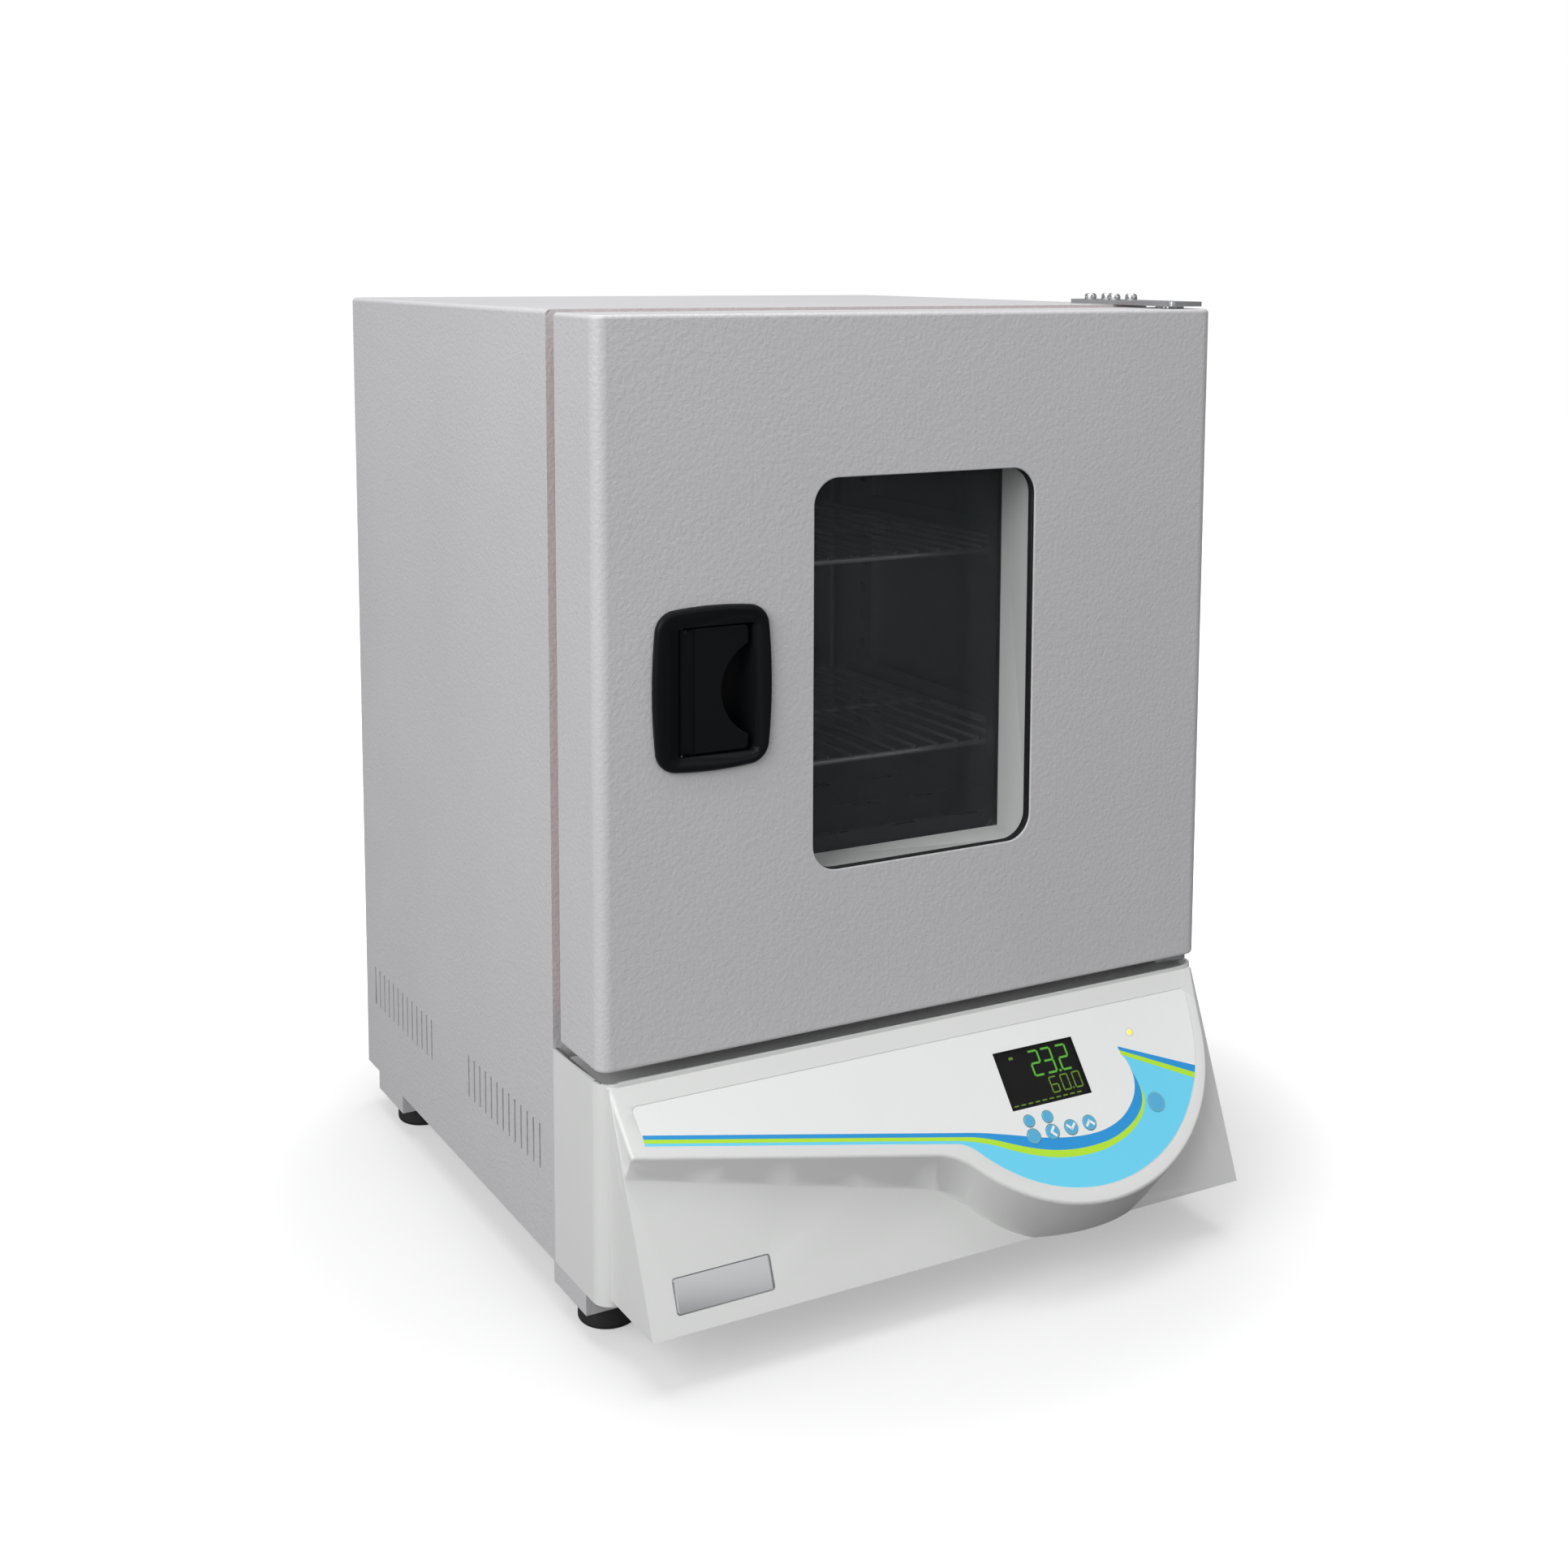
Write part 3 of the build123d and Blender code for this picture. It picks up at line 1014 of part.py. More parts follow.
def handle():
    """Recessed paddle handle and the tongue that its lever slides."""
    face = DOOR_FRONT - HANDLE_PROUD
    shape = bowed(HANDLE_W, HANDLE_H, HANDLE_SIDE_BOW, HANDLE_END_BOW, HANDLE_CORNER_R)
    outline = Pos(HANDLE_X, HANDLE_Z) * shape
    bezel = front_plate(outline, face, DOOR_FRONT)
    bezel = fillet(bezel.faces().sort_by(Axis.Y)[0].edges(), HANDLE_EDGE_R)
    housing = housing_box()
    bezel += block(housing[0], (DOOR_FRONT, RECESS_BACK + HOUSING_WALL), housing[1])
    bezel -= front_plate(rounded(RECESS_X, RECESS_Z, RECESS_R), face, RECESS_BACK)
    arm_z = (LATCH_Z - ARM_H / 2 - SLIDE_ROOM, LATCH_Z + ARM_H / 2 + SLIDE_ROOM)
    bezel -= block((housing[0][0], RECESS_X[0]), (ARM_Y[0] - SLIDE_ROOM, ARM_Y[1] + SLIDE_ROOM), arm_z)
    axis_z = (housing[1][0], housing[1][1])
    pin = bar(PADDLE_PIN_R, (PADDLE_AXIS_X, PADDLE_AXIS_Y, axis_z[0]), (0, 0, 1), axis_z[1] - axis_z[0])
    bezel -= pin

    z = (RECESS_Z[0] + PADDLE_ROOM, RECESS_Z[1] - PADDLE_ROOM)
    inner_x = PADDLE_AXIS_X + PADDLE_BARREL_R
    plate_face = rounded((inner_x - PADDLE_BARREL_R, PADDLE_END_X), z, PADDLE_BARREL_R)
    plate = front_plate(plate_face, PADDLE_FRONT, PADDLE_FRONT + PADDLE_T)
    root_x = (PADDLE_AXIS_X - PADDLE_BARREL_R, inner_x + PADDLE_BARREL_R)
    plate -= block(root_x, (PADDLE_FRONT, PADDLE_AXIS_Y - PADDLE_BARREL_R), z)
    plate -= bar(GRIP_R, (GRIP_X, PADDLE_FRONT, GRIP_Z), (0, 1, 0), PADDLE_T)
    rim = [e for e in edges_at(plate, PADDLE_FRONT) if e.center().X > inner_x + PADDLE_BARREL_R]
    plate = fillet(rim, PADDLE_ROOM)
    plate += bar(PADDLE_BARREL_R, (PADDLE_AXIS_X, PADDLE_AXIS_Y, z[0]), (0, 0, 1), z[1] - z[0])
    lever_x = (PADDLE_AXIS_X - LEVER_T / 2, PADDLE_AXIS_X + LEVER_T / 2)
    lever_y = (PADDLE_AXIS_Y, PADDLE_AXIS_Y + LEVER_REACH)
    plate += block(lever_x, lever_y, (LATCH_Z - LEVER_H / 2, LATCH_Z + LEVER_H / 2))
    plate -= bar(PADDLE_PIN_R + PIN_ROOM, (PADDLE_AXIS_X, PADDLE_AXIS_Y, z[0]), (0, 0, 1), z[1] - z[0])

    blade = block(LATCH_X, (ARM_Y[0], LATCH_TIP), (LATCH_Z - LATCH_H / 2, LATCH_Z + LATCH_H / 2))
    tip = blade.edges().filter_by(Axis.Z).sort_by(Axis.Y)[-2:]
    blade = fillet(tip, LEVER_T / 2)
    blade += block((LATCH_X[1], ARM_END_X), ARM_Y, (LATCH_Z - ARM_H / 2, LATCH_Z + ARM_H / 2))
    notch_x = (PADDLE_AXIS_X - NOTCH_LEFT, PADDLE_AXIS_X + NOTCH_RIGHT)
    blade -= block(notch_x, (ARM_Y[0], ARM_Y[0] + NOTCH_DEPTH), (LATCH_Z - ARM_H / 2, LATCH_Z + ARM_H / 2))
    return {"handle_bezel": bezel, "handle_paddle": plate, "paddle_pin": pin, "latch_tongue": blade}


def brow_face(top_left, top_right, left, slope, lobe, fillet_r, inset):
    """Outline of the brow, drawn in by inset, with s measured down the slope.

    It has a straight edge, a reverse fillet, the lobe and the right side.
    """
    cx, cs, radius = lobe
    radius -= inset
    hook = fillet_r + inset
    lean = atan2(slope, 1)
    edge_s = left[1] - inset / cos(lean)
    offset_s = edge_s + hook / cos(lean)
    # Middle of the reverse fillet: on the line offset by its radius,
    # at radius + hook from the middle of the lobe
    a = 1 + slope * slope
    b0 = offset_s - slope * left[0] - cs
    b = slope * b0 - cx
    c = cx * cx + b0 * b0 - (radius + hook) ** 2
    fx = (-b - (b * b - a * c) ** 0.5) / a
    fs = offset_s + slope * (fx - left[0])
    on_line = (fx + hook * sin(lean), fs - hook * cos(lean))
    share = radius / (radius + hook)
    on_lobe = (cx + (fx - cx) * share, cs + (fs - cs) * share)
    right_top = (top_right - inset, 0.0)
    reach = hypot(right_top[0] - cx, right_top[1] - cs)
    turn = atan2(right_top[1] - cs, right_top[0] - cx) + acos(radius / reach)
    right_touch = (cx + radius * cos(turn), cs + radius * sin(turn))
    start = atan2(on_lobe[1] - cs, on_lobe[0] - cx)
    middle = (start + turn) / 2
    lowest = (cx + radius * cos(middle), cs + radius * sin(middle))
    bite = atan2((on_line[1] + on_lobe[1]) / 2 - fs, (on_line[0] + on_lobe[0]) / 2 - fx)
    hollow = (fx + hook * cos(bite), fs + hook * sin(bite))
    left_low = (left[0] + inset, edge_s + slope * inset)
    left_top = (top_left + inset, 0.0)
    round_run = (right_touch, lowest, on_lobe, hollow, on_line)
    flat = [(x, -s) for x, s in (left_top, right_top, *round_run, left_low)]
    edges = [
        Line(flat[0], flat[1]),
        Line(flat[1], flat[2]),
        ThreePointArc(flat[2], flat[3], flat[4]),
        ThreePointArc(flat[4], flat[5], flat[6]),
        Line(flat[6], flat[7]),
        Line(flat[7], flat[0]),
    ]
    return make_face(edges)


def brow(inset):
    """Wedge between the leaning panel and the fascia, with the lobe."""
    face = brow_face(BROW_TOP_LEFT, BROW_TOP_RIGHT, BROW_LEFT, BROW_SLOPE, LOBE, LOBE_FILLET, inset)
    root = brow_face(ROOT_TOP_LEFT, ROOT_TOP_RIGHT, ROOT_LEFT, ROOT_SLOPE, ROOT_LOBE, ROOT_FILLET, inset)
    depth = -BROW_ROOT - inset
    return loft([PANEL.offset(-inset) * face, FASCIA.offset(depth) * root], ruled=True)


def fascia_body(inset):
    """Lower part of the console, behind the fascia."""
    outline = Polyline(
        (-CONSOLE_TOP_HALF + inset, CONSOLE_TOP - inset),
        (CONSOLE_TOP_HALF - inset, CONSOLE_TOP - inset),
        (CONSOLE_BOTTOM_HALF - inset, CONSOLE_BOTTOM + inset),
        (-CONSOLE_BOTTOM_HALF + inset, CONSOLE_BOTTOM + inset),
        close=True,
    )
    body = front_plate(make_face(outline), FRONT_REACH, BASE_FRONT + CONSOLE_INSERT)
    return split(body, bisect_by=FASCIA.offset(-inset), keep=Keep.BOTTOM)


def base_outline(inset):
    """Plan of the moulded base, round at its two front corners."""
    half = HALF - inset
    front = BASE_FRONT + inset
    path = FilletPolyline((half, 0), (half, front), (-half, front), (-half, 0), radius=BASE_CORNER_R - inset)
    return make_face([*path.edges(), Line((-half, 0), (half, 0))])


def panel_box(x, s, h):
    """Box laid on the panel: x across, s down the slope, h out of it."""
    middle = Pos((x[0] + x[1]) / 2, -(s[0] + s[1]) / 2, (h[0] + h[1]) / 2)
    return PANEL * middle * Box(x[1] - x[0], s[1] - s[0], h[1] - h[0])


def panel_bar(radius, x, s, h0, h1):
    """Round bar standing on the panel."""
    return PANEL * Pos(x, -s, h0) * Cylinder(radius, h1 - h0, align=(Align.CENTER, Align.CENTER, Align.MIN))


def overlay_face(room):
    """Outline of the membrane: the brow's outline drawn in by the rim, cut level along the top."""
    left = (BROW_LEFT[0], BROW_LEFT[1] + OVERLAY_LOW)
    rim = OVERLAY_RIM + room
    face = brow_face(BROW_TOP_LEFT, BROW_TOP_RIGHT, left, BROW_SLOPE, LOBE, OVERLAY_FILLET, rim)
    face -= Pos(0, -room) * Rectangle(CASE_W, 2 * OVERLAY_TOP)
    corners = face.vertices().sort_by(Axis.Y)[-2:]
    return fillet(corners, OVERLAY_CORNER_R - room)


def console():
    """Moulded base, console with its lobe, membrane, display and the plate on the fascia."""
    base = level_plate(base_outline(0), CASE_BASE, BASE_TOP)
    solid_base = base
    base -= level_plate(base_outline(BASE_WALL), CASE_BASE, BASE_TOP - BASE_SINK - BASE_WALL)
    base -= block((-HALF + BASE_WALL, HALF - BASE_WALL), (-BASE_WALL, 0), (CASE_BASE, BASE_TOP - BASE_SINK))
    base -= level_plate(base_outline(BASE_WALL), BASE_TOP - BASE_SINK, BASE_TOP)
    open_y = (BASE_FRONT, BASE_FRONT + BASE_WALL)
    base -= block((-BASE_OPEN_X, BASE_OPEN_X), open_y, (BASE_OPEN_Z0, BASE_OPEN_Z1))
    notch_y = (-HINGE_PLATE_T - HINGE_SCREW[1] - FILL_GAP, 0)
    base -= block((LOWER_LEG_X[0] - FILL_GAP, LOWER_LEG_X[1] + FILL_GAP), notch_y, (LOWER_LEG_Z0, BASE_TOP))

    outer = brow(0)
    middles = [(e, PANEL.to_local_coords(e.center())) for e in outer.edges()]
    crest = [e for e, at in middles if abs(at.Z) < ROUGHLY and at.Y < -ROUGHLY]
    outer = fillet(crest, BROW_EDGE_R)
    body = outer + fascia_body(0)
    body -= brow(CONSOLE_WALL) + fascia_body(CONSOLE_WALL)
    body -= solid_base
    body = body & block((-CASE_W, CASE_W), (-CASE_W, 0), (CONSOLE_BOTTOM, CONSOLE_TOP))

    body -= extrude(PANEL * overlay_face(0), amount=-OVERLAY_SINK)
    lcd_x = (LCD_X[0] - LCD_RIM, LCD_X[1] + LCD_RIM)
    lcd_s = (LCD_S[0] - LCD_RIM, LCD_S[1] + LCD_RIM)
    body -= panel_box(lcd_x, lcd_s, (-CONSOLE_WALL, 0))
    for x, s, radius in KEYS.values():
        body -= panel_bar(radius + KEY_ROOM, x, s, -CONSOLE_WALL, 0)
    body -= panel_bar(LED_R, LED_AT[0], LED_AT[1], -CONSOLE_WALL, 0)
    board_top = CONTROL_H + BOARD_T
    for x, s in BOSS_AT:
        body += panel_bar(BOSS_R, x, s, board_top, -CONSOLE_WALL)

    badge_mid = (BADGE_Z[0] + BADGE_Z[1]) / 2
    drop = (CONSOLE_TOP - badge_mid) / cos(radians(FASCIA_LEAN))
    badge_at = FASCIA * Pos((BADGE_X[0] + BADGE_X[1]) / 2, -drop, -BADGE_SINK)
    long = BADGE_X[1] - BADGE_X[0]
    tall = (BADGE_Z[1] - BADGE_Z[0]) / cos(radians(FASCIA_LEAN))
    body -= badge_at * extrude(RectangleRounded(long, tall, BADGE_R), amount=BADGE_SINK)
    badge_face = RectangleRounded(long - 2 * BADGE_ROOM, tall - 2 * BADGE_ROOM, BADGE_R - BADGE_ROOM)
    badge = extrude(badge_face, amount=BADGE_T)
    badge = badge_at * chamfer(badge.faces().sort_by(Axis.Z)[-1].edges(), BADGE_BEVEL)

    film = extrude(PANEL.offset(-OVERLAY_SINK) * overlay_face(BADGE_ROOM), amount=OVERLAY_T)
    film -= panel_box(LCD_X, LCD_S, (-OVERLAY_SINK, 0))
    film -= panel_bar(LED_R, LED_AT[0], LED_AT[1], -OVERLAY_SINK, 0)
    for x, s, radius in KEYS.values():
        film -= panel_bar(radius + KEY_ROOM, x, s, -OVERLAY_SINK, 0)

    pane = panel_box(
        (LCD_X[0] - LCD_RIM + BADGE_ROOM, LCD_X[1] + LCD_RIM - BADGE_ROOM),
        (LCD_S[0] - LCD_RIM + BADGE_ROOM, LCD_S[1] + LCD_RIM - BADGE_ROOM),
        (-OVERLAY_SINK - LCD_WINDOW_T, -OVERLAY_SINK),
    )
    module_s = (LCD_S[0] - LCD_RIM - MODULE_STEP, LCD_S[1] + LCD_RIM + MODULE_STEP)
    module_x = (LCD_X[0] - MODULE_RIM, LCD_X[1] + MODULE_RIM)
    module = panel_box(module_x, module_s, (-CONSOLE_WALL - MODULE_T, -CONSOLE_WALL))

    board = panel_box(CONTROL_X, CONTROL_S, (CONTROL_H, board_top))
    for x, s, _ in KEYS.values():
        half = SWITCH_SIZE / 2
        switch_h = (board_top, CONTROL_H + BOARD_T + SWITCH_H / 2)
        board += panel_box((x - half, x + half), (s - half, s + half), switch_h)
        board += panel_bar(SWITCH_DOT_R, x, s, board_top, SWITCH_DOT_TOP)
    chip = (CONTROL_X[0] + BOSS_R * 4, CONTROL_X[0] + BOSS_R * 8)
    chip_s = (CONTROL_S[0] + BOSS_R * 4, CONTROL_S[0] + BOSS_R * 8)
    board += panel_box(chip, chip_s, (CONTROL_H - BOARD_T, CONTROL_H))
    led = panel_bar(LED_R, LED_AT[0], LED_AT[1], board_top, -OVERLAY_SINK + OVERLAY_T + LED_PROUD)

    nodes = {
        "base_surround": base,
        "console_fascia": body,
        "badge_plate": badge,
        "membrane_overlay": film,
        "display_window": pane,
        "display_module": module,
        "control_board": board,
        "indicator_led": led,
    }
    for name, (x, s, radius) in KEYS.items():
        nodes[name] = key(x, s, radius)
    return nodes


def key(x, s, radius):
    """One key: a round cap through the film, with two ears behind the console wall that hold it in."""
    top = -OVERLAY_SINK + OVERLAY_T + KEY_PROUD
    cap = panel_bar(radius, x, s, KEY_STEM_END, top)
    upper = [e for e in cap.edges() if abs(PANEL.to_local_coords(e.center()).Z - top) < NEAR]
    cap = fillet(upper, KEY_EDGE_R)
    ear_top = -CONSOLE_WALL - KEY_ROOM
    reach = radius + KEY_EAR_OUT
    ear_s = (s - KEY_EAR_W / 2, s + KEY_EAR_W / 2)
    ears = panel_box((x - reach, x + reach), ear_s, (ear_top - KEY_EAR_T, ear_top))
    return cap + ears


def save(nodes):
    """Write one file a node, moved so that the middle of the footprint is the origin."""
    for name, shape in nodes.items():
        export_step(Pos(0, -CENTRE_Y, 0) * shape, f"parts/{name}.step")


for make in (cabinet, chamber, element, shelves, exhaust, electronics, feet, hinges, door, handle, console):
    save(make())
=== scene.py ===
import json
import logging
import math
from dataclasses import dataclass, field
from enum import Enum

import bmesh
import bpy
from mathutils import Matrix, Vector
from mathutils.geometry import interpolate_bezier


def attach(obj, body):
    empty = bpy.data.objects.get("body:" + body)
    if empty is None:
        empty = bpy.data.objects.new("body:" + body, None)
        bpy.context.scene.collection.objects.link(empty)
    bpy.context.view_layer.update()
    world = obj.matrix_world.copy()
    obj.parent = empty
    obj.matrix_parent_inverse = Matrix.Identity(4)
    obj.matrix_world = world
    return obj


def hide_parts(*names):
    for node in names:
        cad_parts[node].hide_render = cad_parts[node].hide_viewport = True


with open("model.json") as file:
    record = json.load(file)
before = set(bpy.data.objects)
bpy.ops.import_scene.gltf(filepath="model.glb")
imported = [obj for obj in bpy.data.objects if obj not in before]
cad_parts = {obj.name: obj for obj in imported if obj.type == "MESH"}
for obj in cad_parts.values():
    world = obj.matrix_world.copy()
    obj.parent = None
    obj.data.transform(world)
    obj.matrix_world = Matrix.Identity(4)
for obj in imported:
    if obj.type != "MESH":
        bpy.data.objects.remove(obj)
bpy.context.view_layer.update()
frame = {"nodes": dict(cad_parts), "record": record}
LOG = logging.getLogger("oven")

# Metres in a millimetre
MM = 0.001
# Points of a node nearer than this are joined, in metres
MERGE = 0.000002
# How strongly large faces pull the shading of a skin towards flat
FLAT_PULL = 90
# Thickness of the bars in a drawing on the panel, in millimetres
BAR_DEPTH = 0.04
# How finely the drift of a colour and the relief are broken up
MOTTLE_DETAIL = 4.0
RELIEF_DETAIL = 2.0
# The console panel: a point on its top line, and how far it leans from the vertical
PANEL_TOP = Vector((0.0, -0.180329, 0.160))
PANEL_LEAN = math.radians(39.0)

Colour = tuple[float, float, float]
Point = tuple[float, float]
Place = tuple[float, float, float]


class Pattern(Enum):
    """How the fine relief of a finish runs."""

    EVEN = (1.0, 1.0, 1.0)
    BRUSHED_ALONG_X = (0.02, 1.0, 1.0)
    BRUSHED_UP = (1.0, 1.0, 0.02)


class Segment(Enum):
    """Strokes of a seven-stroke figure: middle across, middle down, and whether it stands upright."""

    TOP = (0.5, 0.0, False)
    TOP_RIGHT = (1.0, 0.25, True)
    LOW_RIGHT = (1.0, 0.75, True)
    BOTTOM = (0.5, 1.0, False)
    LOW_LEFT = (0.0, 0.75, True)
    TOP_LEFT = (0.0, 0.25, True)
    MIDDLE = (0.5, 0.5, False)


STROKES: dict[str, tuple[Segment, ...]] = {
    "0": (
        Segment.TOP,
        Segment.TOP_RIGHT,
        Segment.LOW_RIGHT,
        Segment.BOTTOM,
        Segment.LOW_LEFT,
        Segment.TOP_LEFT,
    ),
    "2": (Segment.TOP, Segment.TOP_RIGHT, Segment.MIDDLE, Segment.LOW_LEFT, Segment.BOTTOM),
    "3": (Segment.TOP, Segment.TOP_RIGHT, Segment.MIDDLE, Segment.LOW_RIGHT, Segment.BOTTOM),
    "6": (
        Segment.TOP,
        Segment.TOP_LEFT,
        Segment.MIDDLE,
        Segment.LOW_LEFT,
        Segment.LOW_RIGHT,
        Segment.BOTTOM,
    ),
}


@dataclass(frozen=True)
class Finish:
    """A surface: its colour, gloss and fine relief.

    Args:
        name: Material name.
        colour: Linear base colour.
        roughness: Surface roughness.
        metallic: 1 for bare metal.
        relief_scale: Fine relief, in features a metre.
        relief_depth: Depth of that relief in metres.
        relief_strength: How strongly the relief bends the light.
        pattern: Which way the relief runs.
        mottle: Share by which the colour drifts over the surface.
        mottle_scale: Size of that drift, in features a metre.
        rough_drift: How far the roughness drifts.
        coat: Weight of a clear coat.
        specular: Specular level.
        alpha: Cover of the surface.
        glow: Strength of its own light.
    """

    name: str
    colour: Colour
    roughness: float = 0.5
    metallic: float = 0.0
    relief_scale: float = 900.0
    relief_depth: float = 0.00004
    relief_strength: float = 0.2
    pattern: Pattern = Pattern.EVEN
    mottle: float = 0.03
    mottle_scale: float = 9.0
    rough_drift: float = 0.05
    coat: float = 0.0
    specular: float = 0.5
    alpha: float = 1.0
    glow: float = 0.0

    def material(self) -> bpy.types.Material:
        """The material of this finish, made once.

        Returns:
            The Blender material.
        """
        known = bpy.data.materials.get(self.name)
        if known is not None:
            return known
        material = bpy.data.materials.new(self.name)
        material.use_nodes = True
        tree = material.node_tree
        body = tree.nodes["Principled BSDF"]
        body.inputs["Metallic"].default_value = self.metallic
        body.inputs["Coat Weight"].default_value = self.coat
        body.inputs["Specular IOR Level"].default_value = self.specular
        body.inputs["Alpha"].default_value = self.alpha
        body.inputs["Emission Strength"].default_value = self.glow
        body.inputs["Emission Color"].default_value = (*self.colour, 1.0)
        place = tree.nodes.new("ShaderNodeTexCoord")
        self._colour(tree, place, body)
        self._relief(tree, place, body)
        return material

    def _colour(
        self, tree: bpy.types.NodeTree, place: bpy.types.Node, body: bpy.types.Node
    ) -> None:
        """Drifting base colour and roughness.

        Args:
            tree: Node tree to add to.
            place: Texture coordinate node.
            body: Shader that takes the colour.
        """
        drift = tree.nodes.new("ShaderNodeTexNoise")
        drift.inputs["Scale"].default_value = self.mottle_scale
        drift.inputs["Detail"].default_value = MOTTLE_DETAIL
        tree.links.new(place.outputs["Object"], drift.inputs["Vector"])
        blend = tree.nodes.new("ShaderNodeMix")
        blend.data_type = "RGBA"
        low = [channel * (1.0 - self.mottle) for channel in self.colour]
        high = [min(1.0, channel * (1.0 + self.mottle)) for channel in self.colour]
        blend.inputs["A"].default_value = (*low, 1.0)
        blend.inputs["B"].default_value = (*high, 1.0)
        tree.links.new(drift.outputs["Fac"], blend.inputs["Factor"])
        tree.links.new(blend.outputs["Result"], body.inputs["Base Color"])
        spread = tree.nodes.new("ShaderNodeMapRange")
        spread.inputs["To Min"].default_value = max(0.0, self.roughness - self.rough_drift)
        spread.inputs["To Max"].default_value = min(1.0, self.roughness + self.rough_drift)
        tree.links.new(drift.outputs["Fac"], spread.inputs["Value"])
        tree.links.new(spread.outputs["Result"], body.inputs["Roughness"])

    def _relief(
        self, tree: bpy.types.NodeTree, place: bpy.types.Node, body: bpy.types.Node
    ) -> None:
        """Fine relief, as orange peel, moulding texture or brush marks.

        Args:
            tree: Node tree to add to.
            place: Texture coordinate node.
            body: Shader that takes the relief.
        """
        stretch = tree.nodes.new("ShaderNodeMapping")
        stretch.inputs["Scale"].default_value = self.pattern.value
        tree.links.new(place.outputs["Object"], stretch.inputs["Vector"])
        grain = tree.nodes.new("ShaderNodeTexNoise")
        grain.inputs["Scale"].default_value = self.relief_scale
        grain.inputs["Detail"].default_value = RELIEF_DETAIL
        tree.links.new(stretch.outputs["Vector"], grain.inputs["Vector"])
        bump = tree.nodes.new("ShaderNodeBump")
        bump.inputs["Strength"].default_value = self.relief_strength
        bump.inputs["Distance"].default_value = self.relief_depth
        tree.links.new(grain.outputs["Fac"], bump.inputs["Height"])
        tree.links.new(bump.outputs["Normal"], body.inputs["Normal"])


def printed(name: str, colour: Colour) -> Finish:
    """The finish of a print on the overlay or a key."""
    return Finish(name, colour, 0.33, relief_scale=3000.0, relief_strength=0.06, mottle=0.02)


def lit(name: str, colour: Colour, glow: float) -> Finish:
    """The finish of something that gives light of its own."""
    return Finish(name, colour, 0.4, relief_strength=0.02, glow=glow)


def pane(name: str, colour: Colour, cover: float) -> Finish:
    """The finish of a sheet of glass, seen as a thin veil."""
    return Finish(name, colour, 0.03, relief_strength=0.0, rough_drift=0.01, alpha=cover)


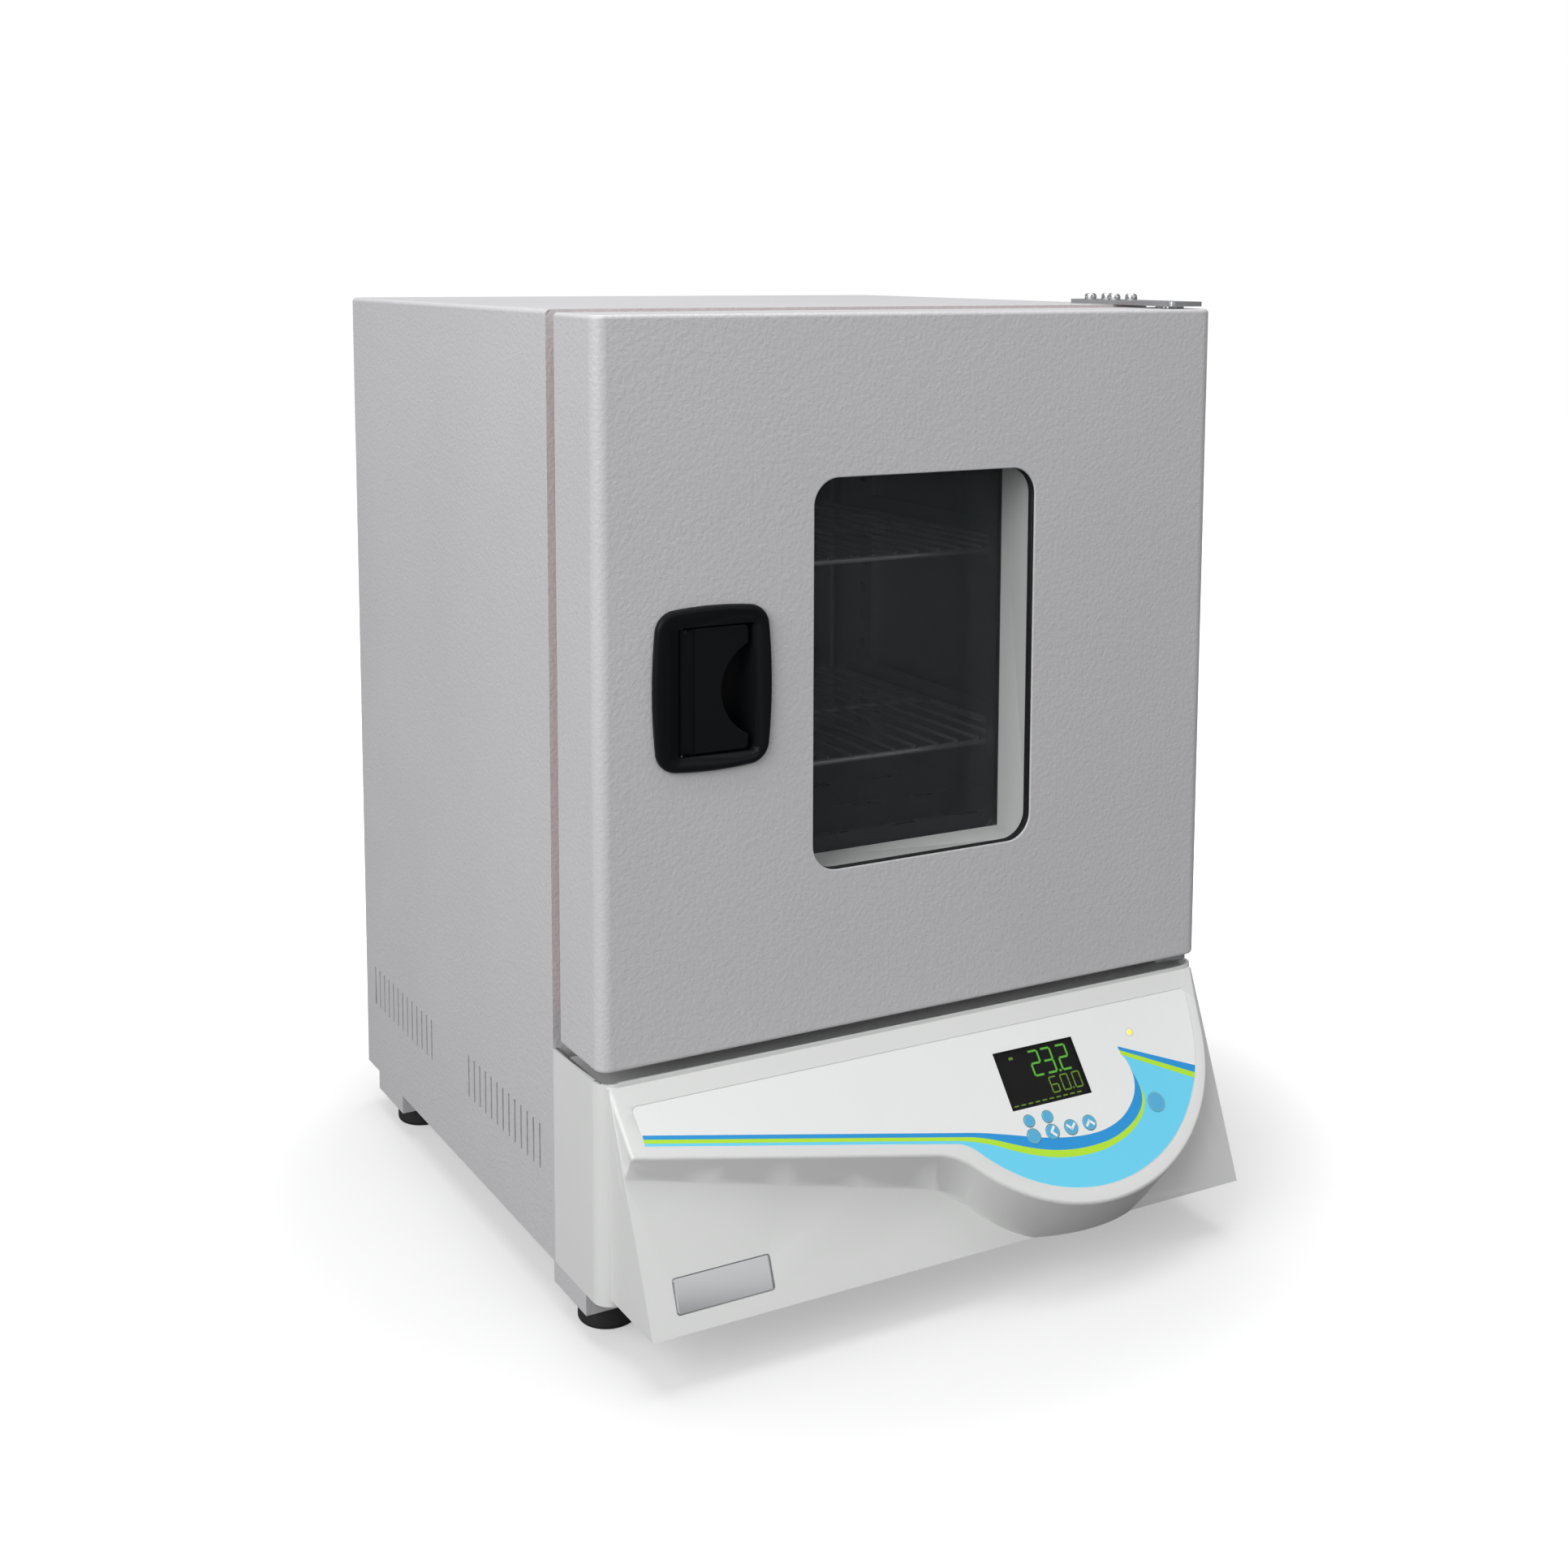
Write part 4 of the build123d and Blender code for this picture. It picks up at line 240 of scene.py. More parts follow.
@dataclass(frozen=True)
class Finishes:
    """Every finish on the oven."""

    powder_coat: Finish = Finish(
        "powder_coat_off_white",
        (0.61, 0.605, 0.62),
        0.40,
        relief_scale=420.0,
        relief_depth=0.0004,
        relief_strength=0.9,
    )
    moulding: Finish = Finish(
        "console_moulding", (0.76, 0.77, 0.76), 0.38, relief_scale=2600.0, relief_strength=0.08
    )
    handle: Finish = Finish(
        "handle_black_moulding",
        (0.006, 0.0065, 0.008),
        0.35,
        relief_scale=1800.0,
        relief_strength=0.06,
        specular=0.12,
    )
    stainless: Finish = Finish(
        "chamber_stainless",
        (0.60, 0.61, 0.62),
        0.33,
        1.0,
        relief_scale=2400.0,
        relief_strength=0.15,
        pattern=Pattern.BRUSHED_ALONG_X,
    )
    bright_wire: Finish = Finish(
        "shelf_bright_wire",
        (0.82, 0.83, 0.84),
        0.30,
        0.6,
        relief_scale=1500.0,
        relief_strength=0.05,
    )
    zinc: Finish = Finish(
        "zinc_plate",
        (0.50, 0.51, 0.52),
        0.34,
        1.0,
        relief_scale=700.0,
        mottle=0.08,
        mottle_scale=60.0,
    )
    bolt: Finish = Finish("nickel_screws", (0.66, 0.66, 0.67), 0.22, 1.0, relief_strength=0.05)
    rubber: Finish = Finish(
        "black_rubber_feet",
        (0.018, 0.018, 0.019),
        0.62,
        relief_scale=1500.0,
        relief_strength=0.25,
    )
    seal: Finish = Finish(
        "window_seal_black",
        (0.012, 0.012, 0.013),
        0.5,
        relief_scale=1500.0,
        relief_strength=0.15,
    )
    silicone: Finish = Finish(
        "door_silicone", (0.58, 0.30, 0.27), 0.45, relief_scale=1200.0, relief_strength=0.15
    )
    black: Finish = Finish("black_moulding", (0.02, 0.02, 0.022), 0.45, relief_scale=2200.0)
    reveal: Finish = Finish(
        "window_reveal_grey", (0.78, 0.80, 0.79), 0.4, relief_scale=2000.0, relief_strength=0.1
    )
    glass: Finish = pane("window_glass", (0.05, 0.06, 0.06), 0.08)
    smoked: Finish = pane("inner_window_glass", (0.045, 0.050, 0.056), 0.28)
    tinted: Finish = pane("display_window_pane", (0.01, 0.01, 0.01), 0.25)
    film: Finish = printed("overlay_white", (0.87, 0.885, 0.88))
    blue_print: Finish = printed("overlay_blue_band", (0.020, 0.32, 0.74))
    lime_print: Finish = printed("overlay_lime_band", (0.50, 0.84, 0.034))
    sky_print: Finish = printed("overlay_light_blue", (0.16, 0.70, 0.95))
    pale_print: Finish = printed("overlay_pale_ring", (0.70, 0.72, 0.50))
    key_cap: Finish = Finish(
        "key_blue",
        (0.012, 0.19, 0.52),
        0.35,
        relief_scale=2600.0,
        relief_strength=0.06,
        specular=0.3,
    )
    key_ring: Finish = printed("key_green_ring", (0.22, 0.46, 0.36))
    key_sign: Finish = printed("key_white_sign", (0.93, 0.95, 0.95))
    display: Finish = Finish(
        "display_face", (0.014, 0.015, 0.014), 0.5, relief_strength=0.02, specular=0.2
    )
    bright_digit: Finish = lit("digit_bright_green", (0.15, 0.58, 0.06), 0.8)
    dim_digit: Finish = lit("digit_dim_green", (0.22, 0.40, 0.04), 0.6)
    lamp: Finish = lit("lamp_yellow", (0.95, 0.82, 0.05), 0.7)
    board: Finish = Finish(
        "circuit_board", (0.02, 0.14, 0.06), 0.4, relief_scale=1400.0, relief_strength=0.3
    )
    wool: Finish = Finish(
        "mineral_wool",
        (0.50, 0.42, 0.20),
        0.9,
        relief_scale=400.0,
        relief_depth=0.0006,
        relief_strength=0.7,
        mottle=0.15,
        mottle_scale=80.0,
    )
    hot_tube: Finish = Finish(
        "heated_steel_tube",
        (0.12, 0.11, 0.10),
        0.45,
        1.0,
        relief_scale=1200.0,
        mottle=0.25,
        mottle_scale=40.0,
    )
    heat_sink: Finish = Finish("black_anodised", (0.03, 0.03, 0.033), 0.4, 1.0)
    plate: Finish = Finish(
        "bare_metal_plate",
        (0.50, 0.51, 0.52),
        0.26,
        1.0,
        relief_scale=2600.0,
        relief_strength=0.12,
        pattern=Pattern.BRUSHED_ALONG_X,
    )


FINISH = Finishes()
BODY_OF: dict[str, str] = {
    node: body for body, nodes in frame["record"]["behaviour"]["bodies"].items() for node in nodes
}


def dress(node: str, finish: Finish) -> bpy.types.Object:
    """Puts a finish on a CAD node.

    Args:
        node: Name of the node.
        finish: What it gets.

    Returns:
        The node's object.
    """
    item = frame["nodes"][node]
    item.data.materials.clear()
    item.data.materials.append(finish.material())
    LOG.info("dressed %s", node)
    return item


def as_object(
    name: str, mesh: bmesh.types.BMesh, finish: Finish, node: str, angle: float = 35.0
) -> bpy.types.Object:
    """Makes a finished piece that rides with a CAD node's body.

    Args:
        name: Name of the piece.
        mesh: Its shape, freed here.
        finish: Its surface.
        node: CAD node whose body it rides with.
        angle: Edges sharper than this stay crisp, in degrees.

    Returns:
        The new object.
    """
    data = bpy.data.meshes.new(name)
    for face in mesh.faces:
        face.smooth = True
    mesh.to_mesh(data)
    mesh.free()
    data.set_sharp_from_angle(angle=math.radians(angle))
    data.materials.append(finish.material())
    item = bpy.data.objects.new(name, data)
    bpy.context.scene.collection.objects.link(item)
    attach(item, BODY_OF[node])
    LOG.info("built %s", name)
    return item


def smooth_skin(node: str, finish: Finish, angle: float = 35.0) -> bpy.types.Object:
    """A joined, smoothly shaded copy of a CAD node that stands in its place.

    Args:
        node: Name of the node.
        finish: Its surface.
        angle: Edges sharper than this stay crisp, in degrees.

    Returns:
        The copy.
    """
    mesh = bmesh.new()
    mesh.from_mesh(frame["nodes"][node].data)
    bmesh.ops.remove_doubles(mesh, verts=mesh.verts, dist=MERGE)
    item = as_object(f"{node}_skin", mesh, finish, node, angle)
    level = item.modifiers.new("flats", "WEIGHTED_NORMAL")
    level.mode = "FACE_AREA"
    level.weight = FLAT_PULL
    level.keep_sharp = True
    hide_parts(node)
    return item


def on_panel(x: float, s: float, h: float) -> Vector:
    """A place on the console panel.

    Args:
        x: Across the panel, in millimetres.
        s: Down its slope, in millimetres.
        h: Out of it, in millimetres.

    Returns:
        The point in metres.
    """
    down = Vector((0.0, -math.sin(PANEL_LEAN), -math.cos(PANEL_LEAN)))
    out = Vector((0.0, -math.cos(PANEL_LEAN), math.sin(PANEL_LEAN)))
    return PANEL_TOP + Vector((x, 0.0, 0.0)) * MM + down * (s * MM) + out * (h * MM)


def panel_frame() -> Matrix:
    """The way from a drawing on the panel to its place on the oven.

    Returns:
        A matrix for shapes drawn in millimetres, X across, Y up the slope and Z out of it.
    """
    start = on_panel(0, 0, 0)
    across = on_panel(1, 0, 0) - start
    up = on_panel(0, -1, 0) - start
    out = on_panel(0, 0, 1) - start
    turn = Matrix((across, up, out)).transposed().to_4x4()
    return Matrix.Translation(PANEL_TOP) @ turn


def flat_bar(mesh: bmesh.types.BMesh, place: Place, size: Point) -> None:
    """Adds a thin flat bar to a drawing on the panel.

    Args:
        mesh: The drawing, in panel millimetres.
        place: Its middle: across the panel, down the slope and out of it.
        size: Its width and height.
    """
    x, s, level = place
    middle = Matrix.Translation((x, -s, level))
    stretch = Matrix.Diagonal((*size, BAR_DEPTH, 1.0))
    bmesh.ops.create_cube(mesh, size=1.0, matrix=middle @ stretch)


def smooth(points: list[Point], steps: int = 4) -> list[Point]:
    """A smooth line through measured points.

    Args:
        points: The measured points.
        steps: Pieces between one of them and the next.

    Returns:
        The points of the finer line.
    """
    knots = [Vector((*point, 0.0)) for point in points]
    befores = [knots[0], *knots[:-1]]
    afters = [*knots[1:], knots[-1]]
    leans = [
        (after - before) / ((after - knot).length + (knot - before).length)
        for before, knot, after in zip(befores, knots, afters)
    ]
    line: list[Point] = []
    for knot, lean, after, next_lean in zip(knots, leans, knots[1:], leans[1:]):
        reach = (after - knot).length / 3
        run = interpolate_bezier(
            knot, knot + lean * reach, after - next_lean * reach, after, steps + 1
        )
        line += [(spot.x, spot.y) for spot in run[:-1]]
    return [*line, points[-1]]


@dataclass
class Band:
    """A printed band between two edges on the overlay.

    Args:
        name: Name of the piece.
        upper: Points of the upper edge, in panel millimetres.
        lower: As many points of the lower edge.
        finish: Its print.
        height: Height over the panel plane, in millimetres.
    """

    name: str
    upper: list[Point]
    lower: list[Point]
    finish: Finish
    height: float = -0.27

    def build(self) -> bpy.types.Object:
        """Bridges the two edges and gives the strip its print.

        Returns:
            The band.
        """
        mesh = bmesh.new()
        chains: list[bmesh.types.BMEdge] = []
        for edge in (self.upper, self.lower):
            points = [mesh.verts.new((x, -s, self.height)) for x, s in edge]
            chains += [mesh.edges.new(pair) for pair in zip(points, points[1:])]
        bmesh.ops.bridge_loops(mesh, edges=chains)
        bmesh.ops.recalc_face_normals(mesh, faces=mesh.faces)
        if sum(face.normal.z for face in mesh.faces) < 0:
            bmesh.ops.reverse_faces(mesh, faces=mesh.faces)
        bmesh.ops.transform(mesh, matrix=panel_frame(), verts=mesh.verts)
        return as_object(self.name, mesh, self.finish, "membrane_overlay")


@dataclass
class Cabinet:
    """Case, chamber, shelves and what shows at the back."""

    coated: tuple[str, ...] = ("rear_cover", "front_frame", "foot_brackets")
    zinc: tuple[str, ...] = (
        "divider_plate",
        "bottom_plate",
        "latch_keeper",
        "element_supports",
        "exhaust_duct",
    )
    boards: tuple[str, ...] = ("power_board", "control_board")
    black: tuple[str, ...] = ("mains_inlet", "solid_state_relay")

    def build(self) -> None:
        """Dresses every piece of the cabinet."""
        smooth_skin("outer_case", FINISH.powder_coat)
        for node in self.coated:
            dress(node, FINISH.powder_coat)
        for node in self.zinc:
            dress(node, FINISH.zinc)
        for node in self.boards:
            dress(node, FINISH.board)
        for node in self.black:
            dress(node, FINISH.black)
        dress("insulation", FINISH.wool)
        dress("heat_sink", FINISH.heat_sink)
        smooth_skin("exhaust_damper", FINISH.black)
        smooth_skin("rear_cover_screws", FINISH.bolt)
        smooth_skin("foot_screws", FINISH.bolt)
        smooth_skin("feet", FINISH.rubber)
        smooth_skin("heating_element", FINISH.hot_tube)
        smooth_skin("temperature_probe", FINISH.bright_wire)
        smooth_skin("inner_chamber", FINISH.stainless)
        for node in ("chamber_floor_plate", "shelf_pilasters", "shelf_runners"):
            dress(node, FINISH.stainless)
        for node in ("shelf_upper", "shelf_lower"):
            smooth_skin(node, FINISH.bright_wire, 50.0)


@dataclass
class Door:
    """Door skins, window stack, handle and hinges."""

    def build(self) -> None:
        """Dresses every piece of the door."""
        smooth_skin("door_shell", FINISH.powder_coat)
        dress("door_inner_panel", FINISH.stainless)
        dress("door_insulation", FINISH.wool)
        smooth_skin("window_seal", FINISH.seal)
        smooth_skin("window_reveal", FINISH.reveal)
        dress("outer_glass", FINISH.glass)
        dress("inner_glass", FINISH.smoked)
        smooth_skin("door_gasket", FINISH.silicone)
        smooth_skin("handle_bezel", FINISH.handle)
        smooth_skin("handle_paddle", FINISH.handle)
        smooth_skin("latch_tongue", FINISH.bolt)
        smooth_skin("paddle_pin", FINISH.bolt)
        smooth_skin("hinge_bushes", FINISH.bolt)
        smooth_skin("hinge_pins", FINISH.bolt)
        smooth_skin("hinge_screws", FINISH.bolt)
        smooth_skin("top_hinge_plate", FINISH.zinc)
        smooth_skin("lower_hinge_bracket", FINISH.zinc)


@dataclass
class Figure:
    """One lit figure of the display.

    Args:
        sign: Which figure.
        left: Left edge in panel millimetres.
        top: Upper edge in panel millimetres.
        width: Its width.
        height: Its height.
        stroke: Width of a stroke.
    """

    sign: str
    left: float
    top: float
    width: float
    height: float
    stroke: float

    def add(self, mesh: bmesh.types.BMesh, level: float) -> None:
        """Adds the figure's strokes.

        Args:
            mesh: Mesh to add to, in panel millimetres.
            level: Height over the panel plane.
        """
        for segment in STROKES[self.sign]:
            across, down, upright = segment.value
            length = (self.height / 2 if upright else self.width) - self.stroke * 0.5
            size = (self.stroke, length) if upright else (length, self.stroke)
            x = self.left + across * self.width
            s = self.top + down * self.height
            flat_bar(mesh, (x, s, level), size)


@dataclass(frozen=True)
class Readout:
    """A row of lit figures on the display, placed by shares of its width and height.

    Args:
        name: Name of the piece.
        figures: Each figure, and how far across the display it starts.
        top: How far down the display the figures start.
        size: Width and height of a figure, in millimetres.
        stroke: Width of a stroke, in millimetres.
        bars: Lit bars beside them: place across and down, width and height in millimetres.
        finish: Their light.
    """

    name: str
    figures: tuple[tuple[str, float], ...]
    top: float
    size: Point
    stroke: float
    bars: tuple[tuple[float, float, float, float], ...]
    finish: Finish


POINT_LARGE = (0.755, 0.50, 1.4, 1.4)
POINT_SMALL = (0.835, 0.83, 1.0, 1.0)
MARK = (0.22, 0.13, 3.0, 1.6)
DASHES = tuple((0.09 + 0.088 * i, 0.92, 3.4, 0.8) for i in range(10))
READOUTS = (
    Readout(
        "display_figures_large",
        (("2", 0.44), ("3", 0.60), ("2", 0.79)),
        0.08,
        (6.8, 15.4),
        1.25,
        (POINT_LARGE,),
        FINISH.bright_digit,
    ),
    Readout(
        "display_figures_small",
        (("6", 0.58), ("0", 0.72), ("0", 0.87)),
        0.575,
        (5.2, 9.6),
        0.85,
        (POINT_SMALL, MARK, *DASHES),
        FINISH.dim_digit,
    ),
)


@dataclass
class Console:
    """Moulded base, console, overlay prints, display and keys."""

    display: tuple[float, float, float, float] = (40.0, 27.0, 100.0, 63.7)
    digit_level: float = -2.95
    keys: dict[str, Place] = field(
        default_factory=lambda: {
            "key_menu": (48.7, 71.4, 3.8),
            "key_timer": (62.3, 71.4, 3.8),
            "key_set": (48.2, 80.9, 4.7),
            "key_left": (62.1, 80.9, 4.7),
            "key_down": (76.0, 80.9, 4.7),
            "key_up": (89.9, 80.9, 4.7),
            "key_power": (142.9, 78.5, 6.4),
        }
    )
    led: Place = (143.8, 32.5, 2.9)
    ring_width: float = 0.4
    print_top: float = -0.27
    sky_top: float = -0.28
    key_top: float = 0.21
    sign_top: float = 0.22
    arrow_arm: Point = (4.8, 1.5)
    arrow_spread: float = 1.35
    arrow_drop: float = 0.2
    key_inset: float = 0.35
    low_start: Point = (-206.8, 33.16)
    low_slope: float = 0.2037
    hollow: Place = (-11.20, 98.15, 24.65)
    hollow_run: Point = (-6.33, 7.17)
    lobe: Place = (88.2, 11.3, 107.35)
    arrows: dict[str, float] = field(
        default_factory=lambda: {"key_left": 90.0, "key_down": 180.0, "key_up": 0.0}
    )

    def build(self) -> None:
        """Builds and dresses the whole console."""
        smooth_skin("base_surround", FINISH.moulding)
        smooth_skin("console_fascia", FINISH.moulding, 25.0)
        smooth_skin("badge_plate", FINISH.plate)
        dress("membrane_overlay", FINISH.film)
        dress("display_window", FINISH.tinted)
        dress("display_module", FINISH.display)
        smooth_skin("indicator_led", FINISH.lamp)
        self.prints()
        for row in READOUTS:
            self.readout(row)
        self.key_caps()

    def prints(self) -> None:
        """The coloured bands on the overlay."""
        white = [(-197.3, 28.8), (-2.3, 68.2), (12.6, 71.3), (30.2, 76.0), (43.3, 79.8)]
        white += [(54.9, 83.0), (72.1, 86.3), (87.1, 87.6), (100.1, 86.9), (112.2, 83.6)]
        white += [(120.6, 79.0), (128.1, 72.4), (132.4, 65.4), (134.2, 58.1), (133.2, 49.9)]
        blue = [(-197.3, 31.2), (-3.3, 70.6), (9.0, 73.3), (20.5, 77.2), (31.9, 82.2)]
        blue += [(43.7, 87.0), (58.0, 91.4), (73.4, 94.0), (87.1, 94.6), (102.1, 93.4)]
        blue += [(115.6, 89.3), (126.2, 83.6), (133.4, 76.0), (135.8, 66.5), (134.0, 54.5)]
        lime = [(-197.3, 33.5), (-4.0, 72.7), (7.8, 76.0), (19.5, 80.4), (30.8, 86.0)]
        lime += [(42.5, 91.0), (56.0, 95.4), (67.4, 97.7), (80.5, 98.9), (95.1, 98.3)]
        lime += [(111.4, 94.5), (122.4, 89.4), (131.0, 82.7), (136.4, 72.6), (134.4, 56.5)]
        Band("overlay_print_blue", smooth(white), smooth(blue), FINISH.blue_print).build()
        Band("overlay_print_lime", smooth(blue), smooth(lime), FINISH.lime_print).build()
        tip = [(130.7, 39.5), (182.87, 62.22)]
        tip_blue = [(130.9, 42.0), (180.43, 66.52)]
        tip_lime = [(131.4, 45.2), (178.44, 69.72)]
        Band("overlay_print_tip_blue", tip, tip_blue, FINISH.blue_print).build()
        Band("overlay_print_tip_lime", tip_blue, tip_lime, FINISH.lime_print).build()
        sky = smooth(lime) + [(133.9, 52.0), (133.0, 48.0)] + smooth(tip_lime)
        straight = [x for x, _ in smooth(lime[:2])]
        turns = len(sky) - len(straight)
        step = (sky[-1][0] - straight[-1]) / turns
        places = straight + [straight[-1] + step * (i + 1) for i in range(turns)]
        low = [(x, self.overlay_low(x)) for x in places]
        Band("overlay_print_sky", sky, low, FINISH.sky_print, self.sky_top).build()
        x, s, radius = self.led
        middle = (x, -s, self.print_top)
        self.ring("indicator_ring", middle, radius, FINISH.pale_print, "membrane_overlay")

    def overlay_low(self, x: float) -> float:
        """How far down the slope the overlay's lower edge lies.

        Args:
            x: Place across the panel, in millimetres.

        Returns:
            The edge's place down the slope, in millimetres.
        """
        if x < self.hollow_run[0]:
            return self.low_start[1] + self.low_slope * (x - self.low_start[0])
        if x < self.hollow_run[1]:
            mid_x, mid_s, radius = self.hollow
            return mid_s - math.sqrt(radius**2 - (x - mid_x) ** 2)
        mid_x, mid_s, radius = self.lobe
        return mid_s + math.sqrt(radius**2 - (x - mid_x) ** 2)

    def ring(
        self, name: str, place: Place, radius: float, finish: Finish, node: str
    ) -> None:
        """A flat printed ring.

        Args:
            name: Name of the piece.
            place: Its middle, in panel millimetres with Y up the slope.
            radius: Its outer radius.
            finish: Its print.
            node: CAD node that it rides with.
        """
        mesh = bmesh.new()
        middle = Matrix.Translation(place)
        inner = (radius - self.ring_width) / radius
        bmesh.ops.create_circle(mesh, segments=40, radius=radius, matrix=middle)
        rim = bmesh.ops.extrude_edge_only(mesh, edges=mesh.edges[:])
        verts = [item for item in rim["geom"] if isinstance(item, bmesh.types.BMVert)]
        bmesh.ops.scale(mesh, vec=(inner, inner, 1.0), space=middle.inverted(), verts=verts)
        bmesh.ops.recalc_face_normals(mesh, faces=mesh.faces)
        if sum(face.normal.z for face in mesh.faces) < 0:
            bmesh.ops.reverse_faces(mesh, faces=mesh.faces)
        bmesh.ops.transform(mesh, matrix=panel_frame(), verts=mesh.verts)
        as_object(name, mesh, finish, node)

    def readout(self, row: Readout) -> None:
        """One row of lit figures behind the display window.

        Args:
            row: The row.
        """
        left, top, right, bottom = self.display
        wide = right - left
        tall = bottom - top
        mesh = bmesh.new()
        for sign, across in row.figures:
            figure = Figure(sign, left + across * wide, top + row.top * tall, *row.size, row.stroke)
            figure.add(mesh, self.digit_level)
        for across, down, *size in row.bars:
            place = (left + across * wide, top + down * tall, self.digit_level)
            flat_bar(mesh, place, (size[0], size[1]))
        bmesh.ops.transform(mesh, matrix=panel_frame(), verts=mesh.verts)
        as_object(row.name, mesh, row.finish, "display_module")

    def key_caps(self) -> None:
        """Blue caps with a ring round them, and arrows on three of them."""
        for node, (x, s, radius) in self.keys.items():
            smooth_skin(node, FINISH.key_cap)
            edge = radius - self.key_inset
            self.ring(f"{node}_ring", (x, -s, self.key_top), edge, FINISH.key_ring, node)
            if node in self.arrows:
                self.arrow(node, x, s, self.arrows[node])

    def arrow(self, node: str, x: float, s: float, turn: float) -> None:
        """A white chevron on a key.

        Args:
            node: The key.
            x: Middle across the panel.
            s: Middle down the panel.
            turn: How far the chevron turns from pointing up, in degrees.
        """
        mesh = bmesh.new()
        for side in (-1.0, 1.0):
            lean = Matrix.Rotation(side * math.radians(45.0), 4, "Z")
            middle = Matrix.Translation((side * self.arrow_spread, -self.arrow_drop, 0.0))
            bar = Matrix.Diagonal((*self.arrow_arm, BAR_DEPTH, 1.0))
            bmesh.ops.create_cube(mesh, size=1.0, matrix=middle @ lean.inverted() @ bar)
        middle = Matrix.Translation((x, -s, self.sign_top))
        place = middle @ Matrix.Rotation(math.radians(turn), 4, "Z")
        bmesh.ops.transform(mesh, matrix=panel_frame() @ place, verts=mesh.verts)
        as_object(f"{node}_sign", mesh, FINISH.key_sign, node)


@dataclass(frozen=True)
class Lamp:
    """A square soft lamp that looks at the oven.

    Args:
        name: Its name.
        place: Where it hangs, in metres.
        size: Length of its edge, in metres.
        power: Its power, in watts.
    """

    name: str
    place: Place
    size: float
    power: float

    def build(self, aim: Vector) -> None:
        """Hangs the lamp.

        Args:
            aim: Where it looks, in metres.
        """
        lamp = bpy.data.lights.new(self.name, "AREA")
        lamp.shape = "SQUARE"
        lamp.size = self.size
        lamp.energy = self.power
        item = bpy.data.objects.new(self.name, lamp)
        item.location = self.place
        item.rotation_euler = (aim - Vector(self.place)).to_track_quat("-Z", "Y").to_euler()
        bpy.context.scene.collection.objects.link(item)


